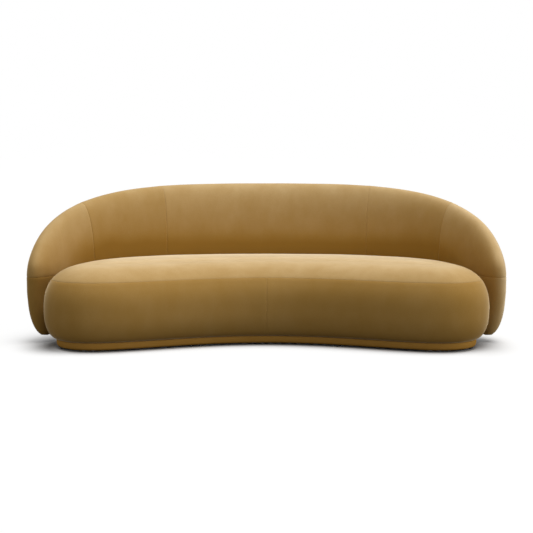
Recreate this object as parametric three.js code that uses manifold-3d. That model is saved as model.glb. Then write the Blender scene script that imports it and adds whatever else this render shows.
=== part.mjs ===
// Curved velvet sofa: a bean-shaped seat on a low plinth, and a back that wraps round it and falls away
// at both ends as rounded wings. Millimetres, +Z up. The sofa faces -Y and its length runs along X.
// Shapes are worked out about the seat's widest line, and the whole sofa is moved at the end so that the
// middle of its footprint is the origin.
import * as THREE from "three";
import { mergeVertices } from "three/addons/utils/BufferGeometryUtils.js";
import Module from "manifold-3d";

const wasm = await Module();
wasm.setup();

// Seat seen from above, at its fullest height
const SEAT_HALF_WIDTH = 1095;
const SEAT_REAR_REACH = 660;
const SEAT_REAR_ROUNDNESS = 2.1;
const SEAT_FRONT_REACH = 535;
const SEAT_FRONT_ROUNDNESS = 2.05;
const FRONT_HOLLOW_DEPTH = 518;
const FRONT_HOLLOW_POWER = 2;
const MIDDLE_LINE_SHARE = 0.99;

// Seat seen from the side: heights, and how far each roll reaches inwards
const SEAT_BOTTOM = 46;
const SEAT_FULLEST = 181;
const SEAT_SEAM_HEIGHT = 338;
const SEAT_EDGE_TOP = 405;
const SEAT_CROWN = 9;
const UNDER_ROLL = 76;
const UNDER_ROUNDNESS = 2.19;
const TOP_ROLL = 248;
const TOP_ROUNDNESS = 2.6;
const REAR_ROLL = 70;
const REAR_ROLL_FADE_POWER = 4;
const HEM_WIDTH = 30;

// Back wall: thickness, heights, and the line of its crest and wing tips
const SEAT_TO_BACK_GAP = 10;
const BACK_THICKNESS = 207;
const WING_THICKNESS = 128;
const WING_TIP_SETBACK = 70;
const BACK_TOP = 769.5;
const BACK_BOTTOM = 34;
const NOSE_HEIGHT = 379;
const NOSE_SEAM_HEIGHT = 332;
const CREST_FALL_POWER = 3.5;
const CREST_ROUNDNESS = 1.383;
const NOSE_UNDERCUT = 88;
const NOSE_ROUNDNESS = 2.39;
const NOSE_DEPTH = 220;
const BACK_ROLL = 237;
const BACK_FOOT_ROLL = 110;
const BACK_FOOT_CUT_SHARE = 0.02;
const BACK_ROUNDNESS = 2.2;
const BACK_LEAN_SLOPE = 0.08;
const WING_LEAN_SLOPE = 0.04;
const WING_LEAN_FROM = 253;
const BACK_FOOT_TUCK = 30;
const FOOT_TUCK_POWER = 3;
const SIDE_SEAM_SHARE = 0.3825;
const CORNER_SEAM_SHARE = 0.704;

// Layers, from the outside in
const CLEARANCE = 0.3;
const SEAM_GAP = 0.4;
const VELVET = 3;
const BACK_FOAM = 36;
const CREST_FOAM = 42;
const BACK_PLY = 6;

// Plinth, its cloth and the glides that it stands on
const PLINTH_INSET = 65;
const PLINTH_COVER = 3;
const PLINTH_RAIL_WIDTH = 45;
const PLINTH_BOTTOM = 9.5;
const PLINTH_EDGE_CUT = 14;
const CROSSBAR_WIDTH = 60;
const CROSSBAR_SPACING = 560;
const DUST_CLOTH = 1.2;
const GLIDE_RADIUS = 20;
const GLIDE_EDGE = 2;

// Seat frame
const FRAME_INSET = 80;
const PLY = 18;
const BASE_TO_HEM_GAP = 0.7;
const FRAME_TOP = 268;
const TOP_FRAME_WIDTH = 75;
const RIB_PLACE_SHARES = [-0.6576, -0.2192, 0.2192, 0.6576];
const END_RAIL_SHARE = 0.5;
const WEBBING_WIDTH = 60;
const WEBBING_THICKNESS = 2;
const WEBBING_PITCH = 170;
const WEBBING_GRIP = 50;
const LONG_WEBBING_PITCH = 150;
const LONG_WEBBING_PLACE_SHARES = [0.5, 1.5];
const TOPPER_UNDERSIDE = 360;
const FOLD_ROOM = 3;

// Back frame
const BACK_RAIL_LIFT = 4;
const BACK_RAIL_SIDE_GAP = 2;
const RIB_SIDE_GAP = 2.5;

// Steel brackets that tie the back to the plinth, and their bolts
const BRACKET_WIDTH = 60;
const BRACKET_STEEL = 5;
const BRACKET_REAR_REACH = 21;
const BRACKET_AT = 660;
const BOLT_RADIUS = 4;
const BOLT_HOLE_GAP = 0.4;
const BOLT_HEAD_RADIUS = 6.5;
const BOLT_HEAD_HEIGHT = 5.3;
const BOLT_END_GAP = 3;
const CUT_OVERRUN = 10;

// Counts and steps of the facets
const SEAT_RUNGS = 7;
const SEAT_END_STEPS = 8;
const OUTLINE_STEPS = 900;
const CENTRE_COLUMNS = 4;
const SIDE_COLUMNS = 4;
const WING_COLUMNS = 3;
const UPPER_NOSE_STEPS = 5;
const LOWER_NOSE_STEPS = 3;
const NOSE_FOOT_STEPS = 1;
const DISC_SIDES = 16;
const BOLT_SIDES = 12;
const BOLT_HEAD_SIDES = 6;
const ROLL_STEP_SHARES = [0, 0.3, 0.62, 1];
const PLY_FIRST_RING = 2;
const UNDER_RING_SHARES = [1, 0.6, 0.3, 0];
const CROWN_RING_SHARES = [0.5, 1];
const TOP_ROLL_STEPS = 3;
const LONGEST_ROLL_SHARE = 0.9;

// Finishes
const velvet = () => finish(0x9c7a43, 0.85, 0);
const plywood = () => finish(0xc9a36a, 0.7, 0);
const softFoam = () => finish(0xe6dcc0, 0.95, 0);
const blackCloth = () => finish(0x1d1c1b, 0.95, 0);
const webbingCloth = () => finish(0x3a3b3d, 0.9, 0);
const blackPlastic = () => finish(0x1b1b1b, 0.5, 0);
const zincSteel = () => finish(0xa9adb0, 0.4, 1);

function finish(color, roughness, metalness) {
  return new THREE.MeshStandardMaterial({ color, roughness, metalness, side: THREE.DoubleSide });
}

// A power that reads zero where rounding leaves a tiny negative number.
function powerOf(value, exponent) {
  return Math.pow(Math.max(value, 0), exponent);
}

// A quarter of a superellipse: how far in and how far up it has gone at an angle from its start.
function quarter(angle, roundness) {
  return {
    inward: 1 - powerOf(Math.cos(angle), 2 / roundness),
    rise: powerOf(Math.sin(angle), 2 / roundness),
  };
}

// The angle at which the quarter has risen by a share of its height.
function angleAtRise(share, roundness) {
  return Math.asin(Math.min(powerOf(share, roundness / 2), 1));
}

// A surface made of four-cornered facets, each corner with a place outside and a place inside.
class Skin {
  constructor() {
    this.outside = new Map();
    this.inside = new Map();
    this.triangles = [];
  }

  spot(key, outside, inside) {
    this.outside.set(key, outside);
    this.inside.set(key, inside);
  }

  facet(a, b, c, d) {
    for (const triangle of [[a, b, c], [a, c, d]]) {
      if (new Set(triangle).size === 3) this.triangles.push(triangle);
    }
  }

  // The closed body between the two places: both surfaces, and a wall along every open edge.
  body() {
    const open = new Map();
    for (const triangle of this.triangles) {
      triangle.forEach((from, i) => {
        const to = triangle[(i + 1) % 3];
        if (!open.delete(to + "|" + from)) open.set(from + "|" + to, [from, to]);
      });
    }
    const corners = [];
    for (const [a, b, c] of this.triangles) {
      corners.push(this.outside.get(a), this.outside.get(b), this.outside.get(c));
      corners.push(this.inside.get(a), this.inside.get(c), this.inside.get(b));
    }
    for (const [a, b] of open.values()) {
      corners.push(this.outside.get(b), this.outside.get(a), this.inside.get(a));
      corners.push(this.outside.get(b), this.inside.get(a), this.inside.get(b));
    }
    return facingOut(corners);
  }
}

// Triangles from a list of corners, turned round as a whole if they enclose a negative volume.
function facingOut(corners) {
  let volume = 0;
  for (let i = 0; i < corners.length; i += 3) {
    volume += corners[i].dot(corners[i + 1].clone().cross(corners[i + 2]));
  }
  const ordered = volume < 0 ? corners.slice().reverse() : corners;
  const geometry = new THREE.BufferGeometry().setFromPoints(ordered);
  geometry.computeVertexNormals();
  return geometry;
}

// Joining and cutting
function toManifold(geometry) {
  const bare = geometry.clone();
  bare.deleteAttribute("normal");
  bare.deleteAttribute("uv");
  const merged = mergeVertices(bare);
  return new wasm.Manifold(
    new wasm.Mesh({
      numProp: 3,
      vertProperties: merged.attributes.position.array,
      triVerts: new Uint32Array(merged.index.array),
    }),
  );
}

function fromManifold(solid) {
  const mesh = solid.getMesh();
  const geometry = new THREE.BufferGeometry();
  geometry.setAttribute("position", new THREE.BufferAttribute(mesh.vertProperties, mesh.numProp));
  geometry.setIndex(new THREE.BufferAttribute(mesh.triVerts, 1));
  const loose = geometry.toNonIndexed();
  loose.computeVertexNormals();
  return loose;
}

function joined(geometries) {
  return fromManifold(geometries.map(toManifold).reduce((whole, next) => whole.add(next)));
}

function cut(geometry, cutters) {
  const whole = toManifold(geometry);
  return fromManifold(cutters.map(toManifold).reduce((rest, cutter) => rest.subtract(cutter), whole));
}

function block(x0, x1, y0, y1, z0, z1) {
  const geometry = new THREE.BoxGeometry(x1 - x0, y1 - y0, z1 - z0);
  return geometry.translate((x0 + x1) / 2, (y0 + y1) / 2, (z0 + z1) / 2);
}

// Seat outline: rear and front edge at a distance from the centre line
function rearEdge(x) {
  const side = powerOf(x / SEAT_HALF_WIDTH, SEAT_REAR_ROUNDNESS);
  return SEAT_REAR_REACH * powerOf(1 - side, 1 / SEAT_REAR_ROUNDNESS);
}

function frontEdge(x) {
  const side = powerOf(x / SEAT_HALF_WIDTH, SEAT_FRONT_ROUNDNESS);
  const hollow = FRONT_HOLLOW_DEPTH * powerOf(1 - (x / SEAT_HALF_WIDTH) ** 2, FRONT_HOLLOW_POWER);
  return hollow - SEAT_FRONT_REACH * powerOf(1 - side, 1 / SEAT_FRONT_ROUNDNESS);
}

function edgePoints(edge, roundness) {
  return Array.from({ length: OUTLINE_STEPS + 1 }, (_, i) => {
    const turn = (Math.PI / 2) * (i / OUTLINE_STEPS);
    const x = SEAT_HALF_WIDTH * powerOf(Math.sin(turn), 2 / roundness);
    return new THREE.Vector2(x, edge(x));
  });
}

const rearPoints = edgePoints(rearEdge, SEAT_REAR_ROUNDNESS);
const frontPoints = edgePoints(frontEdge, SEAT_FRONT_ROUNDNESS);

function nearestTo(points, score) {
  return points.reduce((best, point) => (score(point) < score(best) ? point : best));
}

// Rays from the seat's outline to its middle line. They meet the outline square on, and at each end they
// fan out from the last point of the middle line. A ray and its partner across the seat end at the same
// point.
function seatRay(edge, centre, centreName, sign) {
  const inward = centre.clone().sub(edge);
  const length = inward.length();
  inward.divideScalar(length);
  const rearShare = edge.y > 0 ? 1 - (edge.x / SEAT_HALF_WIDTH) ** REAR_ROLL_FADE_POWER : 0;
  return {
    edge: new THREE.Vector2(sign * edge.x, edge.y),
    inward: new THREE.Vector2(sign * inward.x, inward.y),
    length,
    topRoll: TOP_ROLL + (REAR_ROLL - TOP_ROLL) * rearShare,
    centreName: centreName === 0 ? "0" : sign * centreName + "",
  };
}

// How far out the middle line goes: nearly to where the rounded end would be nearer than the front edge.
function middleLineEnd() {
  const passesOver = ({ x, y }) => {
    const middle = new THREE.Vector2(x, (y + frontEdge(x)) / 2);
    const foot = nearestTo(frontPoints, (point) => point.distanceTo(middle));
    return foot.x - x > (SEAT_HALF_WIDTH - x) / 2;
  };
  return rearPoints.find(passesOver).x * MIDDLE_LINE_SHARE;
}

const MIDDLE_LINE_END = middleLineEnd();

function halfSeatRays(sign) {
  const centres = Array.from({ length: SEAT_RUNGS + 1 }, (_, i) => {
    const x = (MIDDLE_LINE_END * i) / SEAT_RUNGS;
    return new THREE.Vector2(x, (rearEdge(x) + frontEdge(x)) / 2);
  });
  const footOn = (points, centre) => nearestTo(points, (p) => p.distanceTo(centre));
  const rear = centres.map((c, i) => seatRay(footOn(rearPoints, c), c, i, sign));
  const front = centres.map((c, i) => seatRay(footOn(frontPoints, c), c, i, sign));
  const end = centres[SEAT_RUNGS];
  const angleOf = (point) => Math.atan2(point.y - end.y, point.x - end.x);
  const rearFoot = footOn(rearPoints, end);
  const frontFoot = footOn(frontPoints, end);
  const from = angleOf(rearFoot);
  const to = angleOf(frontFoot);
  const endPoints = [
    ...rearPoints.filter((p) => p.x > rearFoot.x),
    ...frontPoints.filter((p) => p.x > frontFoot.x),
  ];
  const fan = Array.from({ length: SEAT_END_STEPS - 1 }, (_, i) => {
    const angle = from + ((to - from) * (i + 1)) / SEAT_END_STEPS;
    const point = nearestTo(endPoints, (p) => Math.abs(angleOf(p) - angle));
    return seatRay(point, end, SEAT_RUNGS, sign);
  });
  return [...rear, ...fan, ...front.reverse()];
}

// Right half from the rear centre round to the front centre, then the left half back to the rear.
const rightRays = halfSeatRays(1);
const leftRays = halfSeatRays(-1).reverse().slice(1, -1);
const seatRays = [...rightRays, ...leftRays];
seatRays.forEach((ray, i) => {
  ray.name = "ray" + i;
});
const frontCentre = rightRays.length - 1;

// Rings of the seat: each gives the distance in from the outline and the height, on any ray.
function level(inset, height) {
  return { at: () => [inset, height] };
}

function middle(height) {
  return { closes: true, at: (ray) => [ray.length, height] };
}

function underRing(share, depth) {
  const { inward, rise } = quarter((Math.PI / 2) * share, UNDER_ROUNDNESS);
  const inset = depth + (UNDER_ROLL - depth) * inward;
  return level(inset, SEAT_FULLEST - (SEAT_FULLEST - SEAT_BOTTOM - depth) * rise);
}

function sideRing(angle, depth) {
  const { inward, rise } = quarter(angle, TOP_ROUNDNESS);
  const height = SEAT_FULLEST + (SEAT_EDGE_TOP - SEAT_FULLEST - depth) * rise;
  return { at: (ray) => [depth + (ray.topRoll - depth) * inward, height] };
}

function crownRing(share, depth) {
  const height = SEAT_EDGE_TOP - depth + SEAT_CROWN * share ** 2 * (3 - 2 * share);
  if (share === 1) return middle(height);
  return { at: (ray) => [ray.topRoll + (ray.length - ray.topRoll) * share, height] };
}

function seatPoint(ray, ring) {
  const [inset, height] = ring.at(ray);
  const spot = ray.edge.clone().addScaledVector(ray.inward, inset);
  return new THREE.Vector3(spot.x, spot.y, height);
}

// A body between two stacks of rings, on all the rays or on a stretch of them.
function seatShell(outer, inner, rays = seatRays) {
  const skin = new Skin();
  const whole = rays.length === seatRays.length;
  const nameOf = (ray, i) => i + (outer[i].closes ? "middle" + ray.centreName : ray.name);
  for (const ray of rays) {
    outer.forEach((ring, i) => skin.spot(nameOf(ray, i), seatPoint(ray, ring), seatPoint(ray, inner[i])));
  }
  const spans = whole ? rays.length : rays.length - 1;
  for (let n = 0; n < spans; n += 1) {
    const [ray, next] = [rays[n], rays[(n + 1) % rays.length]];
    for (let i = 0; i + 1 < outer.length; i += 1) {
      skin.facet(nameOf(ray, i), nameOf(next, i), nameOf(next, i + 1), nameOf(ray, i + 1));
    }
  }
  return skin.body();
}

// A stretch of rays from one number to another, going on past the last ray to the first.
function stretch(from, to) {
  return Array.from({ length: to - from + 1 }, (_, i) => seatRays[(from + i) % seatRays.length]);
}

// The same stretch with both end rays moved along the outline, away from the neighbouring piece.
function shortened(rays) {
  const moved = rays.slice();
  const shift = (ray, next) => {
    const along = next.edge.clone().sub(ray.edge).normalize().multiplyScalar(SEAM_GAP / 2);
    return { ...ray, edge: ray.edge.clone().add(along) };
  };
  moved[0] = shift(rays[0], rays[1]);
  moved[moved.length - 1] = shift(rays[rays.length - 1], rays[rays.length - 2]);
  return moved;
}

// Wall of the back. A place on it is a distance along its middle line, from the centre, and a height.
function wallThickness(share) {
  return BACK_THICKNESS + (WING_THICKNESS - BACK_THICKNESS) * share ** 2;
}

function wallLine() {
  const seatLine = new THREE.SplineCurve(rearPoints.filter((p) => p.y >= WING_TIP_SETBACK));
  const steps = seatLine.points.length - 1;
  const offset = Array.from({ length: steps + 1 }, (_, i) => {
    const point = seatLine.getPoint(i / steps);
    const tangent = seatLine.getTangent(i / steps);
    const normal = i === 0 ? new THREE.Vector2(0, 1) : new THREE.Vector2(-tangent.y, tangent.x);
    return point.addScaledVector(normal, SEAT_TO_BACK_GAP + wallThickness(i / steps) / 2);
  });
  const line = new THREE.SplineCurve(offset);
  line.arcLengthDivisions = OUTLINE_STEPS;
  return line;
}

const backLine = wallLine();
const BACK_HALF_LENGTH = backLine.getLength();
const NOSE_CENTRE_AT = BACK_HALF_LENGTH - NOSE_DEPTH;
const SIDE_SEAM_AT = BACK_HALF_LENGTH * SIDE_SEAM_SHARE;
const CORNER_SEAM_AT = BACK_HALF_LENGTH * CORNER_SEAM_SHARE;

function crestHeight(along) {
  const share = powerOf(along / BACK_HALF_LENGTH, CREST_FALL_POWER);
  return NOSE_HEIGHT + (BACK_TOP - NOSE_HEIGHT) * powerOf(1 - share, 1 / CREST_ROUNDNESS);
}

function noseAt(height) {
  const share = (NOSE_HEIGHT - height) / (NOSE_HEIGHT - BACK_BOTTOM);
  const kept = powerOf(1 - powerOf(share, NOSE_ROUNDNESS), 1 / NOSE_ROUNDNESS);
  return BACK_HALF_LENGTH - NOSE_UNDERCUT * (1 - kept);
}

function wallMiddleShift(along, height) {
  const share = Math.min(along / BACK_HALF_LENGTH, 1);
  const inboard = Math.cos((Math.PI / 2) * share) ** 2;
  const backLean = BACK_LEAN_SLOPE * inboard * Math.max(height - NOSE_HEIGHT, 0);
  const wingLean = WING_LEAN_SLOPE * (1 - inboard) * Math.max(height - WING_LEAN_FROM, 0);
  const low = Math.max(NOSE_HEIGHT - height, 0) / (NOSE_HEIGHT - BACK_BOTTOM);
  return backLean - wingLean - BACK_FOOT_TUCK * low ** FOOT_TUCK_POWER;
}

function wallSpot(along, height, offset, sign) {
  const share = Math.min(along / BACK_HALF_LENGTH, 1);
  const point = backLine.getPointAt(share);
  const tangent = backLine.getTangentAt(share);
  const normal = along === 0 ? new THREE.Vector2(0, 1) : new THREE.Vector2(-tangent.y, tangent.x);
  point.addScaledVector(normal, offset + wallMiddleShift(along, height));
  return new THREE.Vector3(along === 0 ? 0 : sign * point.x, point.y, height);
}

function footRoll(along) {
  return BACK_FOOT_ROLL + (BACK_ROLL - BACK_FOOT_ROLL) * Math.min(along / BACK_HALF_LENGTH, 1) ** 2;
}

// Rays over the wall's outline: columns up to the crest and down to the foot, and a fan round the nose. A
// ray has its outline point, the point it ends at on the level of the nose seam, and the panel between it
// and the next ray.
function spaced(from, to, steps) {
  return Array.from({ length: steps + 1 }, (_, i) => from + ((to - from) * i) / steps);
}

function wallColumns() {
  const halfGap = SEAM_GAP / 2;
  const named = (values, panel) =>
    values.map((along, i) => ({ along, panel: i + 1 < values.length ? panel : "seam" }));
  return [
    ...named(spaced(0, SIDE_SEAM_AT - halfGap, CENTRE_COLUMNS), "centre"),
    ...named(spaced(SIDE_SEAM_AT + halfGap, CORNER_SEAM_AT - halfGap, SIDE_COLUMNS), "side"),
    ...named(spaced(CORNER_SEAM_AT + halfGap, NOSE_CENTRE_AT, WING_COLUMNS), "wing"),
  ];
}

// Evenly spread points of the outline of the nose, between two angles about the middle of the nose.
function noseOutline() {
  const points = [];
  for (const turn of spaced(0, Math.PI / 2, OUTLINE_STEPS)) {
    const along = NOSE_CENTRE_AT + NOSE_DEPTH * Math.sin(turn);
    points.push(new THREE.Vector2(along, crestHeight(along)));
  }
  for (const turn of spaced(0, Math.PI / 2, OUTLINE_STEPS)) {
    const height = NOSE_HEIGHT - (NOSE_HEIGHT - BACK_BOTTOM) * Math.sin(turn);
    points.push(new THREE.Vector2(noseAt(height), height));
  }
  return points;
}

function halfWallRays(sign) {
  const columns = wallColumns();
  const noseCentre = new THREE.Vector2(NOSE_CENTRE_AT, NOSE_SEAM_HEIGHT);
  const outline = noseOutline();
  const angleOf = (point) => Math.atan2(point.y - noseCentre.y, point.x - noseCentre.x);
  const outlineAt = (angle) => nearestTo(outline, (p) => Math.abs(angleOf(p) - angle));
  const upright = (column, i, edgeHeight, foot) => ({
    edge: new THREE.Vector2(column.along, edgeHeight),
    end: new THREE.Vector2(column.along, NOSE_SEAM_HEIGHT),
    endName: i === 0 ? "0" : sign * i + "",
    foot,
    sign,
  });
  const last = columns.length - 1;
  const endName = sign * last + "";
  const fromNose = (edge, foot = false) => ({ edge, end: noseCentre, endName, foot, sign });
  const top = columns.map((column, i) => ({
    ...upright(column, i, crestHeight(column.along), false),
    panel: i === last ? "wing" : column.panel,
  }));
  const seamAngle = SEAM_GAP / NOSE_DEPTH;
  const upper = spaced(Math.PI / 2, seamAngle, UPPER_NOSE_STEPS).slice(1).map((angle, i, all) => ({
    ...fromNose(outlineAt(angle)),
    panel: i + 1 < all.length ? "wing" : "seam",
  }));
  const footCorner = new THREE.Vector2(noseAt(BACK_BOTTOM), BACK_BOTTOM);
  const lower = spaced(-seamAngle, angleOf(footCorner), LOWER_NOSE_STEPS).map((angle) => ({
    ...fromNose(outlineAt(angle)),
    panel: "nose",
  }));
  const footSpots = spaced(footCorner.x, NOSE_CENTRE_AT + SEAM_GAP, NOSE_FOOT_STEPS + 1).slice(1);
  const feet = footSpots.map((along, i) => ({
    ...fromNose(new THREE.Vector2(along, BACK_BOTTOM), true),
    panel: i + 1 < footSpots.length ? "nose" : "seam",
  }));
  const bottom = columns.map((column, i) => ({
    ...upright(column, i, BACK_BOTTOM, true),
    panel: i === 0 ? "" : columns[i - 1].panel,
  }));
  return [...top, ...upper, ...lower, ...feet, ...bottom.reverse()];
}

// The loop goes down the right half from the top centre to the foot's centre, and up the left half.
function wallLoop() {
  const right = halfWallRays(1).map((ray) => ({ ...ray, hand: "right" }));
  const left = halfWallRays(-1).map((ray) => ({ ...ray, hand: "left" }));
  left.forEach((ray, i) => {
    ray.spanPanel = i === 0 ? "" : left[i - 1].panel;
  });
  const climbing = left.reverse().slice(1, -1);
  const loop = [
    ...right.slice(0, -1).map((ray) => ({ ...ray, spanPanel: ray.panel })),
    { ...right[right.length - 1], spanPanel: "centre", spanHand: "left" },
    ...climbing,
  ];
  loop.forEach((ray, i) => {
    ray.name = "ray" + i;
  });
  return loop;
}

const wallRays = wallLoop();
const columnsAlong = wallColumns().map((column) => column.along);
const wallFootCentre = wallRays.findIndex((ray) => ray.foot && ray.edge.x === 0);

// One layer's place on the wall: how far along, how high, and how far from the wall's middle line. A
// layer lies at a depth under the crest and at a depth under both faces.
function wallPlace(ray, rollShare, layer) {
  const inward = ray.end.clone().sub(ray.edge);
  const start = ray.edge.clone();
  if (!ray.foot) start.addScaledVector(inward.clone().normalize(), layer.crest);
  inward.copy(ray.end).sub(start);
  const length = inward.length();
  inward.divideScalar(length);
  const fullRoll = ray.edge.y > NOSE_SEAM_HEIGHT ? BACK_ROLL : footRoll(ray.edge.x);
  const roll = Math.min(ray.foot ? fullRoll : fullRoll - layer.crest, length * LONGEST_ROLL_SHARE);
  let distance = length;
  let rise = 1;
  if (rollShare !== "end") {
    const startShare = ray.foot ? BACK_FOOT_CUT_SHARE : 0;
    const startAngle = Math.acos(powerOf(1 - startShare, BACK_ROUNDNESS / 2));
    const angle = startAngle + (Math.PI / 2 - startAngle) * rollShare;
    const swept = quarter(angle, BACK_ROUNDNESS);
    distance = (roll * (swept.inward - startShare)) / (1 - startShare);
    rise = swept.rise;
  }
  const place = start.addScaledVector(inward, distance);
  const share = Math.min(place.x / BACK_HALF_LENGTH, 1);
  const half = wallThickness(share) / 2 - layer.face;
  return { along: place.x, height: place.y, half: half * rise };
}

function wallPoint(ray, rollShare, side, layer) {
  const { along, height, half } = wallPlace(ray, rollShare, layer);
  return wallSpot(along, height, side * half, ray.sign);
}

// Half the wall's thickness up one column, for a layer, as heights and widths from the foot to below the
// crest.
function columnProfile(index, layer) {
  const top = wallRays[index];
  const foot = wallRays[wallFootCentre - index];
  const shares = [...ROLL_STEP_SHARES, "end"];
  const lower = shares.map((share) => wallPlace(foot, share, layer));
  const upper = ROLL_STEP_SHARES.slice(1).reverse().map((share) => wallPlace(top, share, layer));
  return [...lower, ...upper];
}

function halfAtHeight(profile, height) {
  const above = Math.max(profile.findIndex((place) => place.height > height), 1);
  const [low, high] = [profile[above - 1], profile[above]];
  const share = (height - low.height) / (high.height - low.height);
  return low.half + (high.half - low.half) * share;
}

// A body between two layers, on the spans that are kept, on one face of the wall or on both.
function wallShell(outer, inner, keep, sides = [-1, 1], crestRing = 0) {
  const skin = new Skin();
  const stops = [...ROLL_STEP_SHARES, "end"];
  const nameOf = (ray, i, side) => {
    if (i + 1 === stops.length) return "end" + ray.endName + side;
    return i + ray.name + (i === 0 && !ray.foot ? "crest" : side);
  };
  wallRays.forEach((ray, n) => {
    const next = wallRays[(n + 1) % wallRays.length];
    if (!keep(ray)) return;
    const firstRing = ray.foot && next.foot ? 0 : crestRing;
    for (const side of sides) {
      for (const corner of [ray, next]) {
        for (let i = firstRing; i < stops.length; i += 1) {
          const place = [corner, stops[i], side];
          skin.spot(nameOf(corner, i, side), wallPoint(...place, outer), wallPoint(...place, inner));
        }
      }
      for (let i = firstRing; i + 1 < stops.length; i += 1) {
        const corners = [nameOf(ray, i, side), nameOf(next, i, side)];
        corners.push(nameOf(next, i + 1, side), nameOf(ray, i + 1, side));
        skin.facet(...(side > 0 ? corners : corners.reverse()));
      }
    }
  });
  return skin.body();
}

const layerAt = (depth) => ({ crest: depth, face: depth });
const COVER_OUT = layerAt(0);
const COVER_IN = layerAt(VELVET);
const FOAM_OUT = layerAt(VELVET + CLEARANCE);
const FOAM_IN = { crest: FOAM_OUT.crest + CREST_FOAM, face: FOAM_OUT.face + BACK_FOAM };
const PLY_OUT = { crest: FOAM_IN.crest + CLEARANCE, face: FOAM_IN.face + CLEARANCE };
const PLY_IN = { crest: PLY_OUT.crest + BACK_PLY, face: PLY_OUT.face + BACK_PLY };

// A bar that follows the wall's middle line between its two nose centres, as wide as the layer at its
// underside.
function wallBar(layer, sideGap, bottom, top, levelOf = bottom) {
  const skin = new Skin();
  const last = columnsAlong.length - 1;
  const spots = spaced(-last, last, 2 * last);
  for (const spot of spots) {
    const index = Math.abs(spot);
    const half = halfAtHeight(columnProfile(index, layer), levelOf) - sideGap;
    for (const side of [-1, 1]) {
      const upper = wallSpot(columnsAlong[index], levelOf, side * half, Math.sign(spot));
      skin.spot(spot + "/" + side, upper.clone().setZ(top), upper.clone().setZ(bottom));
    }
  }
  for (const spot of spots.slice(1)) {
    const before = spot - 1;
    skin.facet(before + "/-1", spot + "/-1", spot + "/1", before + "/1");
  }
  return skin.body();
}

// Frame of reference at a place on the wall's line: across the wall, up, and along it.
function wallFrame(along, sign) {
  const share = along / BACK_HALF_LENGTH;
  const point = backLine.getPointAt(share);
  const tangent = backLine.getTangentAt(share);
  if (along === 0) tangent.set(1, 0);
  const across = new THREE.Vector3(-sign * tangent.y, tangent.x, 0);
  const up = new THREE.Vector3(0, 0, 1);
  const basis = new THREE.Matrix4().makeBasis(across, up, across.clone().cross(up));
  basis.setPosition(sign * point.x, point.y, 0);
  return basis;
}

// An upright plywood former of the back, between the plies, from the bottom rail to below the crest.
function backRib(index, sign) {
  const layer = { crest: PLY_IN.crest + RIB_SIDE_GAP, face: PLY_IN.face + RIB_SIDE_GAP };
  const profile = columnProfile(index, layer);
  const bottom = BACK_RAIL_TOP + CLEARANCE;
  const places = profile.filter((place) => place.height > bottom);
  places.unshift({ height: bottom, half: halfAtHeight(profile, bottom) });
  const along = columnsAlong[index];
  const corner = ({ height, half }, side) =>
    new THREE.Vector2(wallMiddleShift(along, height) + side * half, height);
  const edge = (side) => places.map((place) => corner(place, side));
  const shape = new THREE.Shape([...edge(1), ...edge(-1).reverse()]);
  const geometry = new THREE.ExtrudeGeometry(shape, { depth: PLY, bevelEnabled: false });
  geometry.translate(0, 0, -PLY / 2);
  return geometry.applyMatrix4(wallFrame(along, sign));
}

// Round parts
function disc(radius, edge, bottom, top) {
  const profile = [
    [0, bottom],
    [radius - edge, bottom],
    [radius, bottom + edge],
    [radius, top],
    [0, top],
  ].map(([x, y]) => new THREE.Vector2(x, y));
  return new THREE.LatheGeometry(profile, DISC_SIDES).rotateX(Math.PI / 2);
}

function pin(radius, from, to) {
  const geometry = new THREE.CylinderGeometry(radius, radius, to - from, BOLT_SIDES);
  return geometry.rotateX(Math.PI / 2).translate(0, 0, (from + to) / 2);
}

// A hexagon-headed bolt whose head lies under its seat and whose shank points up.
function bolt(seat, end) {
  const radius = BOLT_HEAD_RADIUS;
  const head = new THREE.CylinderGeometry(radius, radius, BOLT_HEAD_HEIGHT, BOLT_HEAD_SIDES);
  head.rotateX(Math.PI / 2).translate(0, 0, seat - BOLT_HEAD_HEIGHT / 2);
  return joined([head, pin(BOLT_RADIUS, seat - BOLT_HEAD_HEIGHT / 2, end)]);
}

const sofa = new THREE.Group();

function add(name, geometry, material, parent = sofa) {
  const mesh = new THREE.Mesh(geometry, material);
  mesh.name = name;
  parent.add(mesh);
  return mesh;
}

const hands = [
  ["left", -1],
  ["right", 1],
];

// Heights that stack on each other
const HEM_BOTTOM = SEAT_BOTTOM;
const HEM_TOP = HEM_BOTTOM + VELVET;
const BASE_BOTTOM = HEM_TOP + BASE_TO_HEM_GAP;
const BASE_TOP = BASE_BOTTOM + PLY;
const PLINTH_TOP = SEAT_BOTTOM - CLEARANCE;
const PLINTH_RAIL_INSET = PLINTH_INSET + PLINTH_COVER + CLEARANCE;
const PLINTH_RAIL_INNER = PLINTH_RAIL_INSET + PLINTH_RAIL_WIDTH;
const DUST_TOP = PLINTH_BOTTOM - CLEARANCE;
const GLIDE_TOP = DUST_TOP - DUST_CLOTH - CLEARANCE;
const BACK_DUST_TOP = BACK_BOTTOM - CLEARANCE;
const BACK_DUST_BOTTOM = BACK_DUST_TOP - DUST_CLOTH;
const BACK_GLIDE_TOP = BACK_DUST_BOTTOM - CLEARANCE;
const TOP_FRAME_BOTTOM = FRAME_TOP - PLY;
const WEBBING_BOTTOM = FRAME_TOP + CLEARANCE;
const CORE_BOTTOM = WEBBING_BOTTOM + WEBBING_THICKNESS + CLEARANCE;
const BACK_RAIL_BOTTOM = BACK_BOTTOM + BACK_RAIL_LIFT;
const BACK_RAIL_TOP = BACK_RAIL_BOTTOM + PLY;

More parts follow.
